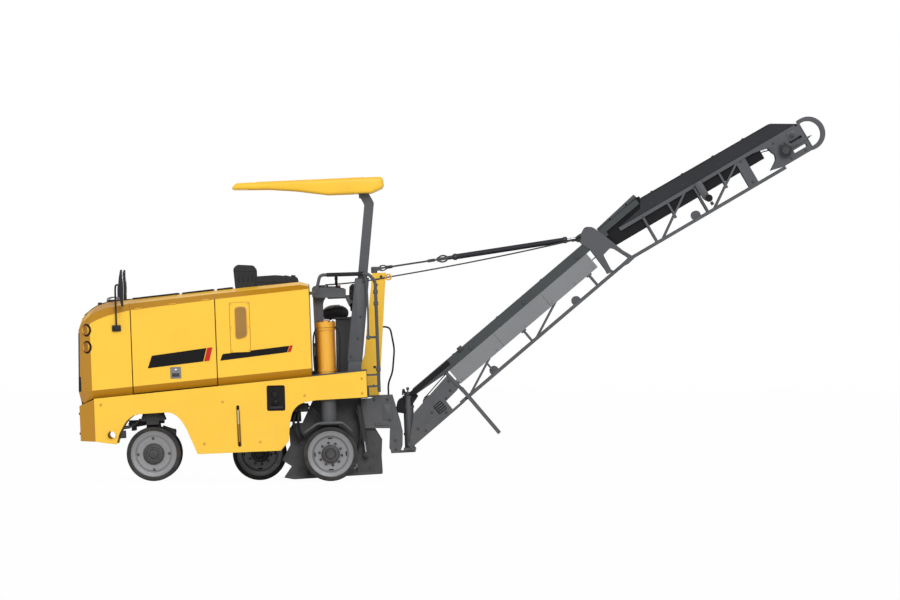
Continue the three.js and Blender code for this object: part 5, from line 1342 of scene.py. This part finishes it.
def build_truss_details():
    """Foot vents, bolts, seams, stand guides, skirts, knots and take-ups of the side frames."""
    for side, word in SIDES:
        y = side * TRUSS_SIDE
        out = side * 0.004
        # Painted shade: a black sheet set behind the vent slats stands for the shade inside the vent.
        vent_recess_shade = painted(panel(rect(0.4, 0.05, 0.542, 0.197), y - side * 0.024, y - side * 0.0122, 0),
            "window")
        slats = [painted(panel(rect(0.418, v, 0.524, v + 0.016, 0.008), y - side * 0.014, y, 0.002), "dark")
            for v in [0.072 + 0.029 * i for i in range(4)]]
        parts = [vent_recess_shade, *slats]
        on_conveyor(parts, word + "_foot_trim", LOWER)
        bolts = [(0.1, 0.1), (0.16, 0.02), (0.6, 0.16), (0.7, 0.2), (0.76, 0.3), (0.49, 0.03), (0.36, 0.14)]
        bolts_at([(u, y, v) for u, v in bolts], word + "_foot_bolts", "conveyor", LOWER, side, 0.013)
        rivets = [(u, 0.212) for u in (0.9, 1.45, 1.9, 2.338, 2.7, 2.996)]
        bolts_at([(u, y, v) for u, v in rivets], word + "_panel_bolts", "conveyor", LOWER, side, 0.008,
            "rim")
        seams = [panel(rect(u, 0.186, u + 0.004, 0.388), y - out, y + side * 0.0012, 0.0)
            for u in (1.55, 2.3)]
        on_conveyor(seams, word + "_panel_seams", LOWER, "dark")
        legs = panel([(0.78, 0.392, 0.01), (0.822, 0.392, 0.01), (0.844, 0.01, 0.01), (0.802, 0.01, 0.01)],
            y + side * 0.002, y + side * 0.01, 0.002)
        on_conveyor(legs, word + "_stand_guide", LOWER, "dark")
        tail = panel([(0.02, 0.43, 0.02), (0.11, 0.33, 0.02), (0.36, 0.4), (0.36, 0.47),
            (0.14, 0.53, 0.04)], side * 0.296, side * 0.304, 0)
        on_conveyor(tail, word + "_tail_skirt", LOWER, "belt")
        wing = panel([(2.1, 0.367), (2.132, 0.244), (2.16, 0.186), (2.26, 0.186), (2.26, 0.367)],
            side * 0.327, side * 0.337, 0.001)
        on_conveyor(wing, word + "_head_wing", UPPER, "dark")
        knots = [panel([(u - 0.035, 0.158, 0.01), (u + 0.035, 0.158, 0.01), (u + 0.035, 0.184),
            (u - 0.035, 0.184)], side * 0.31, side * 0.335, 0.002) for u in (1.8536, 2.9)]
        on_conveyor(knots, word + "_lower_knots", LOWER, "dark")
        heads = [(0.38, 0.36), (1.1, 0.36), (1.75, 0.34), (1.75, 0.05), (2.2, 0.33), (2.5, 0.06),
            (2.3, 0.06)]
        bolts_at([(u, side * (0.332 if u < 2.0 else 0.338), v) for u, v in heads], word + "_head_bolts",
            "conveyor", UPPER, side, 0.011)
        take_up = [painted(panel(rect(2.39, 0.245, 2.51, 0.355, 0.02), y - out, y + side * 0.012, 0.003),
            "dark"), painted(rod((2.45, y + side * 0.01, 0.3), (2.45, y + side * 0.03, 0.3), 0.03, 24,
            0.004), "hub"), painted(panel([(2.35, 0.163), (2.6, 0.164), (2.668, 0.18, 0.006), (2.6, 0.192),
            (2.35, 0.184)], y + side * 0.004, y + side * 0.018, 0.003), "dark"),
            painted(rod((2.549, y - out, 0.381), (2.549, y + side * 0.002, 0.381), 0.014, 20), "window")]
        on_conveyor(take_up, word + "_take_up", UPPER)
        skirt = panel([(-0.12, 0.226), (2.02, 0.226), (2.02, 0.352), (0.45, 0.352), (0.47, 0.6),
            (0.43, 0.608), (-0.12, 0.486)], side * 0.294, side * 0.302, 0)
        on_conveyor(skirt, word + "_belt_skirt", UPPER, "belt")


def build_head_drive():
    """The head motor's case and ports, the hopper bracket and the belt scraper."""
    case = painted(rod((2.29, -0.44, 0.18), (2.29, -0.366, 0.18), 0.078, 8, 0.008), "chassis")
    end = painted(moved(turned([(0, -0.03), (0.045, -0.03), (0.05, -0.01), (0.05, 0.0), (0, 0.0)], 28),
        at(2.29, -0.438, 0.18)), "hub")
    ports = [painted(rod((2.29 - 0.03 + 0.06 * i, -0.405, 0.24), (2.29 - 0.03 + 0.06 * i, -0.405, 0.275),
        0.013, 6, 0.002), "hub") for i in range(2)]
    on_conveyor([case, end, *ports], "head_motor_case", UPPER)
    bracket = painted(panel([(1.12, 0.391), (1.214, 0.391), (1.214, 0.17, 0.03), (1.165, 0.11, 0.03),
        (1.12, 0.17, 0.03)], -0.368, -0.352, 0.003), "dark")
    spool = painted(moved(turned([(0, -0.05), (0.045, -0.05), (0.045, -0.038), (0.026, -0.034),
        (0.026, 0.034), (0.045, 0.038), (0.045, 0.05), (0, 0.05)], 28), at(1.19, -0.39, 0.15)), "window")
    drop = painted(rod((1.19, -0.39, 0.1), (1.19, -0.39, 0.055), 0.02, 8, 0.004), "hub")
    on_conveyor([bracket, spool, drop], "hopper_bracket", UPPER)
    scraper = painted(panel([(2.545, 0.13, 0.004), (2.575, 0.125, 0.004), (2.566, 0.215, 0.004),
        (2.556, 0.215, 0.004)], -0.24, 0.24, 0.002), "belt")
    on_conveyor(scraper, "belt_scraper", UPPER)


def build_covers():
    """Clamps, bands, lips and ribs of the conveyor's covers, and the flap over the bend."""
    clamp = [block((u, side * TRUSS_SIDE - 0.012, 0.418), (u + 0.05, side * TRUSS_SIDE + 0.012, 0.452),
        0.004) for side in (-1, 1) for u in (1.2, 2.05, 2.9)]
    bands = [panel([(u, 0.512), (u + 0.03, 0.512), (u + 0.028, 0.519), (u + 0.002, 0.519)], -0.338, 0.338,
        0.001) for u in (1.0, 1.7, 2.4, 3.1)]
    on_conveyor(clamp + bands, "lower_cover_bands", LOWER, "cover")
    lip = [panel(rect(0.32, 0.44, 0.91, 0.503), side * 0.3385, side * 0.345, 0.001) for side in (-1, 1)]
    boxes = [block((1.085, side * 0.345 - 0.012, 0.48), (1.153, side * 0.345 + 0.012, 0.538), 0.004)
        for side in (-1, 1)]
    on_conveyor([painted(p, "belt") for p in lip] + [painted(b, "hub") for b in boxes], "cover_lips", LOWER)
    ribs = [panel([(u, z), (u + 0.022, z), (u + 0.02, z + 0.008), (u + 0.002, z + 0.008)], -0.32, 0.32,
        0.001) for u, z in ((0.62, 0.574), (1.05, 0.5713), (1.48, 0.5683), (1.9, 0.5653))]
    edge = [panel([(0.47, 0.56), (2.28, 0.5475), (2.28, 0.5535), (0.47, 0.566)], side * 0.325, side * 0.33,
        0.001) for side in (-1, 1)]
    on_conveyor(ribs + edge, "upper_cover_ribs", UPPER, "black")
    flap = painted(panel([(-0.163, 0.471, 0.01), (0.435, 0.605, 0.01), (0.423, 0.653, 0.01),
        (-0.175, 0.519, 0.01)], -0.322, 0.322, 0.004), "cover")
    # Painted shade: black discs at the flap's two sides stand for holes in it.
    holes = [painted(rod((u, y - 0.004, v), (u, y + 0.004, v), 0.012, 16), "window")
        for u, v in ((0.02, 0.537), (0.28, 0.595)) for y in (-0.32, 0.32)]
    on_conveyor([flap, *holes], "bend_flap", UPPER)
    for side, word in SIDES:
        bolts_at([(u, side * 0.3262, 0.45) for u in (0.55, 1.0, 1.5, 2.0, 2.35)], word + "_cover_bolts",
            "conveyor", UPPER, side, 0.008)


SLEW_X = 3.112


def build_slewing():
    """Bolts and ribs of the bracket, and caps, bands and hoses of the slewing frame."""
    for side, word in SIDES:
        y = side * 0.44
        spots = [(2.7, 0.55), (2.86, 0.55), (2.88, 0.3), (2.94, 0.05), (2.94, -0.06)]
        bolts_at([(x, y, z) for x, z in spots], word + "_bracket_bolts", "hull", side=side, radius=0.014)
    rib = [panel(rect(2.7, 0.24, 2.86, 0.26), -0.452, -0.44, 0.002),
        panel([(2.8, 0.3, 0.02), (2.92, 0.3, 0.02), (2.9, 0.5, 0.02), (2.8, 0.5, 0.02)], -0.447, -0.44,
        0.002)]
    on_hull(rib, "bracket_ribs", "dark")
    cap = [moved(turned([(0, -0.008), (0.066, -0.008), (0.068, 0.01), (0.06, 0.016), (0, 0.016)], 28),
        at(SLEW_X, side * 0.25, z) @ UPRIGHT) for side in (-1, 1) for z in (0.571,)]
    bands = [moved(turned(rect(0.0605, -0.012, 0.07, 0.012), 28), at(SLEW_X, side * 0.25, z) @ UPRIGHT)
        for side in (-1, 1) for z in (0.12, 0.45)]
    knob = rod((SLEW_X, -0.25, 0.655), (SLEW_X, -0.25, 0.69), 0.018, 16, 0.005)
    settle([*cap, *bands, knob], "slew_bands", HULL, "slew_frame", "dark")
    lines = [hose([(3.05, y, 0.6), (3.052, y - 0.02, 0.68), (3.075, y - 0.01, 0.665),
        (3.08, y + 0.01, 0.56), (3.07, y + 0.03, 0.42)], 0.011) for y in (-0.33, -0.3)]
    settle(lines, "slew_hoses", HULL, "slew_frame", "hose")


GUSSET_PIN = Vector((3.1, 0, 0.6))
ROD_SHOWN = 0.14
BARREL_LENGTH = 1.415


def build_stay():
    """Shackle, wraps, eye and collars of the stay."""
    shackle = hose([(0.0, 0, -0.026), (0.03, 0, -0.034), (0.07, 0, -0.026), (0.092, 0, 0.0),
        (0.07, 0, 0.026), (0.03, 0, 0.034), (0.0, 0, 0.026)], 0.008)
    wraps = [rod((u - 0.006, 0, 0), (u + 0.006, 0, 0), 0.021, 16, 0.002) for u in (0.085, 0.11, 0.135)]
    settle([shackle, *wraps], "stay_shackle", STAY, "stay", "hub")
    length = (Vector(JOINTS["stay_pitch"]["pos_m"]) - LOWER @ GUSSET_PIN).length
    end = length - ROD_SHOWN
    start = end - BARREL_LENGTH
    eye = hose([(start + u, 0, v) for u, v in ((-0.19, 0), (-0.16, 0.042), (-0.09, 0.042), (-0.05, 0),
        (-0.09, -0.042), (-0.16, -0.042), (-0.19, 0))], 0.01)
    settle([eye, rod((start - 0.06, 0, 0), (start, 0, 0), 0.024, 16, 0.003)], "stay_eye", STAY, "stay",
        "hub")
    collars = [painted(moved(turned([(0.0325, -0.02), (0.04, -0.018), (0.04, 0.018), (0.0325, 0.02)], 28),
        at(u, 0, 0) @ about("Z", 90)), "hub") for u in (start + 0.03, end - 0.03)]
    settle(collars, "stay_collars", STAY, "stay")


def build_ropes(settings):
    """The thin rope from the console over the mast's guide to the gusset, in four lengths."""
    guide = HULL @ Vector((2.928, 0.0, 2.04))
    eye = LOWER @ Vector((3.13, 0.0, 0.57))
    side = Vector((0, 0.075, 0))
    run = eye - guide
    sag = settings.rope_sag

    def on_rope(t, shift):
        point = guide + run * t + side * shift
        point.z -= sag * 4 * t * (1 - t)
        return point
    upper_half = hose([on_rope(t, -1) for t in (0.4, 0.5, 0.6, 0.7, 0.8, 0.86)], settings.rope_radius)
    loop = hose([on_rope(0.965, -1), on_rope(0.975, -1) + Vector((0, 0, 0.03)),
        on_rope(0.992, -1) + Vector((0, 0, 0.038)), on_rope(1.0, -1),
        on_rope(0.992, -1) - Vector((0, 0, 0.038)), on_rope(0.975, -1) - Vector((0, 0, 0.03)),
        on_rope(0.965, -1)], settings.rope_radius * 1.3)
    sleeve = rod(on_rope(0.945, -1), on_rope(0.965, -1), settings.rope_radius * 2, 14, 0.002)
    tail = hose([on_rope(t, -1) for t in (0.86, 0.9, 0.965)], settings.rope_radius)
    settle(upper_half, "rope_far_half", WORLD, "stay_rod", "rope")
    on_conveyor([tail, loop, sleeve], "rope_loop", WORLD, "rope")
    lower_half = hose([on_rope(t, -1.0) + Vector((0, 0.016, 0)) for t in (0.07, 0.15, 0.25, 0.35, 0.45,
        0.55, 0.62)], settings.rope_radius)
    settle(lower_half, "rope_near_half", WORLD, "stay", "rope")
    deck_end = HULL @ Vector((2.155, -0.075, 1.975))
    guide_side = guide - side
    sagging = []
    for i in range(9):
        t = i / 8
        point = guide_side.lerp(deck_end, t)
        point.z -= 0.015 * 4 * t * (1 - t)
        sagging.append(point)
    hull_half = hose([on_rope(t, -1) for t in (0.08, 0.05, 0.02)] + sagging, settings.rope_radius)
    ring = moved(turned(rect(0.026, -0.012, 0.042, 0.012), 24), Matrix.Translation(guide_side))
    settle([painted(hull_half, "rope"), painted(ring, "gold")], "rope_guide_half", WORLD, "hull")


def build_frame_bolts():
    """Bolts of the mast and bumper, and a strip at the edge of the operator's floor."""
    mast = Surface("stay_mast")
    for side, word in SIDES:
        spots = [(2.7, 0.72), (2.72, 0.95), (2.78, 1.95), (2.84, 2.05)]
        bolts_on(mast, spots, word + "_mast_bolts", "hull", side, 0.013, "hub")
    heads = []
    for y in (-0.5, -0.25, 0.25, 0.5):
        for z in (0.28, 0.52):
            heads.append(at(-0.8838, y, z) @ about("Z", -90))
    on_hull(copies(hex_bolt(0.014, 0.011), heads), "bumper_bolts", "hub")
    mesh_plate = painted(panel([(2.36, 0.915, 0.01), (2.45, 0.915, 0.01), (2.45, 0.922), (2.36, 0.922)],
        -0.42, 0.1, 0.001), "dark")
    on_hull(mesh_plate, "floor_hatch")


# ---- Stage --------------------------------------------------------------------------------------
VIEW_WIDTH = 10.98
VIEW_CENTRE = (-0.027, 2.201)
CAMERA_REACH = 600


def build_stage(settings):
    """A pale floor, soft lamps, a white background and the camera at the machine's left side."""
    bpy.ops.object.select_all(action="DESELECT")
    bpy.ops.mesh.primitive_plane_add(size=400, location=(0, 0, -0.001))
    floor = bpy.context.object
    floor.name = "floor"
    material = bpy.data.materials.new("Pale Floor")
    material.use_nodes = True
    tree = material.node_tree
    shader = tree.nodes["Principled BSDF"]
    shader.inputs["Base Color"].default_value = (0.86, 0.86, 0.86, 1)
    shader.inputs["Roughness"].default_value = 0.9
    shader.inputs["Specular IOR Level"].default_value = 0.1
    glow = tree.nodes.new("ShaderNodeEmission")
    glow.inputs["Color"].default_value = (1, 1, 1, 1)
    mix = tree.nodes.new("ShaderNodeMixShader")
    path = tree.nodes.new("ShaderNodeLightPath")
    seen = math_node(tree, "MULTIPLY", path.outputs["Is Camera Ray"], settings.floor_glow)
    tree.links.new(seen, mix.inputs[0])
    tree.links.new(shader.outputs[0], mix.inputs[1])
    tree.links.new(glow.outputs[0], mix.inputs[2])
    tree.links.new(mix.outputs[0], tree.nodes["Material Output"].inputs["Surface"])
    floor.data.materials.append(material)
    world = bpy.data.worlds.new("Studio")
    bpy.context.scene.world = world
    world.use_nodes = True
    tree = world.node_tree
    sky = tree.nodes["Background"]
    sky.inputs["Color"].default_value = (1, 1, 1, 1)
    path = tree.nodes.new("ShaderNodeLightPath")
    seen = math_node(tree, "MAXIMUM", path.outputs["Is Camera Ray"], path.outputs["Is Transmission Ray"])
    level = remap(tree, seen, 0.0, 1.0, settings.sky_light, 1.0)
    tree.links.new(level, sky.inputs["Strength"])
    for name, energy, size, azimuth, height in (("Key", settings.key_light, 30, -80, 25),
            ("Fill", settings.key_light * 0.35, 60, -140, 20), ("Back", settings.key_light * 0.35, 60, 80,
            40)):
        lamp = bpy.data.lights.new(name, "SUN")
        lamp.energy = energy
        lamp.angle = math.radians(size)
        holder = bpy.data.objects.new(name, lamp)
        bpy.context.scene.collection.objects.link(holder)
        around_z, up = (math.radians(azimuth), math.radians(height))
        from_where = Vector((math.cos(around_z) * math.cos(up), math.sin(around_z) * math.cos(up),
            math.sin(up)))
        holder.rotation_euler = from_where.to_track_quat("Z", "Y").to_euler()
    camera = bpy.data.cameras.new("Camera")
    camera.lens = settings.lens * 1000
    camera.sensor_width = 36
    camera.clip_end = CAMERA_REACH
    holder = bpy.data.objects.new("Camera", camera)
    bpy.context.scene.collection.objects.link(holder)
    distance = VIEW_WIDTH * camera.lens / camera.sensor_width
    holder.location = (VIEW_CENTRE[0], -distance, VIEW_CENTRE[1])
    holder.rotation_euler = (math.radians(90), 0, 0)
    bpy.context.scene.camera = holder
    bpy.context.scene.view_settings.view_transform = "Standard"


# ---- Settings, operators and panel --------------------------------------------------------------
class PlanerSizes(bpy.types.PropertyGroup):
    """Sizes a user may change"""
    wheel_steps: IntProperty(name="Wheel Steps", description="Facets around each wheel", default=64, min=24)
    picks: IntProperty(name="Picks", description="Number of picks on the milling drum", default=84, min=12)
    rope_radius: FloatProperty(name="Rope Radius", description="Radius of the thin rope", default=0.009,
        unit="LENGTH")
    rope_sag: FloatProperty(name="Rope Sag", description="How far the thin rope sags at its middle",
        default=0.02, unit="LENGTH")
    label_red: FloatProperty(name="Label End", description="Length of a door label's red end",
        default=0.075, unit="LENGTH")


class PlanerColours(bpy.types.PropertyGroup):
    """Colours a user may change"""
    body: FloatVectorProperty(name="Body Paint", description="Paint of the hood and skirts",
        subtype="COLOR", default=srgb(255, 203, 62), size=3, min=0, max=1)
    conveyor: FloatVectorProperty(name="Conveyor Paint", description="Paint of the conveyor and frames",
        subtype="COLOR", default=srgb(74, 76, 80), size=3, min=0, max=1)


class PlanerStage(bpy.types.PropertyGroup):
    """Light and camera settings"""
    sky_light: FloatProperty(name="Sky Light", description="Strength of the light from all round",
        default=0.5)
    key_light: FloatProperty(name="Key Light", description="Strength of the main lamp", default=1.3)
    floor_glow: FloatProperty(name="Floor White", description="How white the floor looks to the camera",
        default=0.97, subtype="FACTOR")
    lens: FloatProperty(name="Lens", description="Focal length of the camera", default=0.6, unit="LENGTH")


def step(idname, label, doc, work, group):
    """An operator class that runs one building step, with its group of settings if it has one."""
    def execute(self, context):
        work(*([getattr(context.scene, group)] if group else []))
        return {"FINISHED"}
    name = "PLANER_OT_" + idname
    return type(name, (bpy.types.Operator,), {"bl_idname": "planer." + idname, "bl_label": label,
        "__doc__": doc, "execute": execute, "bl_options": {"REGISTER", "UNDO"}})


STEPS = [step(*row) for row in (
    ("finishes", "Finishes", "Makes the finishes and gives them to the CAD nodes", dress, "planer_colours"),
    ("stage", "Stage", "Adds the floor, lamps, background and camera", build_stage, "planer_stage"),
    ("wheels", "Wheels", "Adds tyres and rims in place of the plain wheels", build_wheels, "planer_sizes"),
    ("labels", "Labels", "Adds the blank labels on the hood", build_labels, "planer_sizes"),
    ("latches", "Door Latches", "Adds the engine doors' latches and hinges", build_latches, None),
    ("vents", "Vent Panels", "Adds the bolted vent panels", build_vents, None),
    ("strips", "Hood Seals", "Adds the hood's seals and grips", build_hood_strips, None),
    ("nose", "Nose", "Adds the grille bars, lamps, edge strips and fittings", build_nose, None),
    ("skirts", "Skirt Details", "Adds the skirts' window, gauge, rings and bolts", build_skirt_details,
        None),
    ("exhaust", "Exhaust", "Adds the exhaust box's louvres, seams and ribs", build_exhaust, None),
    ("mirrors", "Mirrors", "Adds the mirrors on their arms, with glass and bolts", build_mirrors, None),
    ("steering", "Steering", "Adds the front axle's caps, levers, cylinder and valve", build_steering,
        None),
    ("column", "Lifting Column", "Adds the column's cap, rings and hoses", build_column, None),
    ("picks", "Drum Picks", "Adds the milling drum's picks", build_drum_picks, "planer_sizes"),
    ("plates", "Side Plates", "Adds the side plates' shoes and bolts", build_side_plates, None),
    ("chamber", "Chamber Fittings", "Adds hoses and valves by the drum chamber", build_chamber_fittings,
        None),
    ("seat", "Seat", "Adds the padded seat and its shell", build_seat, None),
    ("console", "Console", "Adds the console's panel, joystick, arm, lid and cable", build_console, None),
    ("rails", "Rails and Canopy", "Adds the rail tube, post plates, roof shell and ribs",
        build_rails_and_canopy, None),
    ("belt", "Belt Cleats", "Adds the belt's chevron cleats", build_belt_cleats, None),
    ("truss", "Side Frames", "Adds bolts, vents, skirts and take-ups to the side frames",
        build_truss_details, None),
    ("head", "Head Drive", "Adds the head motor, hopper bracket and scraper", build_head_drive, None),
    ("covers", "Covers", "Adds the covers' bands, lips, ribs and flap", build_covers, None),
    ("slewing", "Slewing Frame", "Adds bolts, bands and hoses at the slewing frame", build_slewing, None),
    ("stay", "Stay", "Adds the stay's shackle, eye and collars", build_stay, None),
    ("ropes", "Thin Rope", "Adds the thin rope below the stay, in four lengths", build_ropes,
        "planer_sizes"),
    ("bolts", "Frame Bolts", "Adds the mast's and bumper's bolts", build_frame_bolts, None),
)]


class PLANER_PT_steps(bpy.types.Panel):
    """Lists the building steps and their settings"""
    bl_label = "Cold Planer"
    bl_idname = "PLANER_PT_steps"
    bl_space_type = "VIEW_3D"
    bl_region_type = "UI"
    bl_category = "Planer"

    def draw(self, context):
        for group in ("planer_sizes", "planer_colours", "planer_stage"):
            settings = getattr(context.scene, group)
            for name in settings.__annotations__:
                self.layout.prop(settings, name)
        for made in STEPS:
            self.layout.operator(made.bl_idname, text=made.bl_label)


GROUPS_OF_SETTINGS = {"planer_sizes": PlanerSizes, "planer_colours": PlanerColours,
    "planer_stage": PlanerStage}


def register():
    """Registers the settings, operators and panel."""
    for name, group in GROUPS_OF_SETTINGS.items():
        bpy.utils.register_class(group)
        setattr(bpy.types.Scene, name, PointerProperty(type=group))
    for made in (*STEPS, PLANER_PT_steps):
        bpy.utils.register_class(made)


def unregister():
    """Takes them away again."""
    for made in (PLANER_PT_steps, *reversed(STEPS)):
        bpy.utils.unregister_class(made)
    for name, group in GROUPS_OF_SETTINGS.items():
        delattr(bpy.types.Scene, name)
        bpy.utils.unregister_class(group)


def main():
    """Registers everything, runs each step and keeps the sizes."""
    register()
    for made in STEPS:
        getattr(bpy.ops.planer, made.bl_idname.split(".")[1])()


if __name__ == "__main__":
    main()
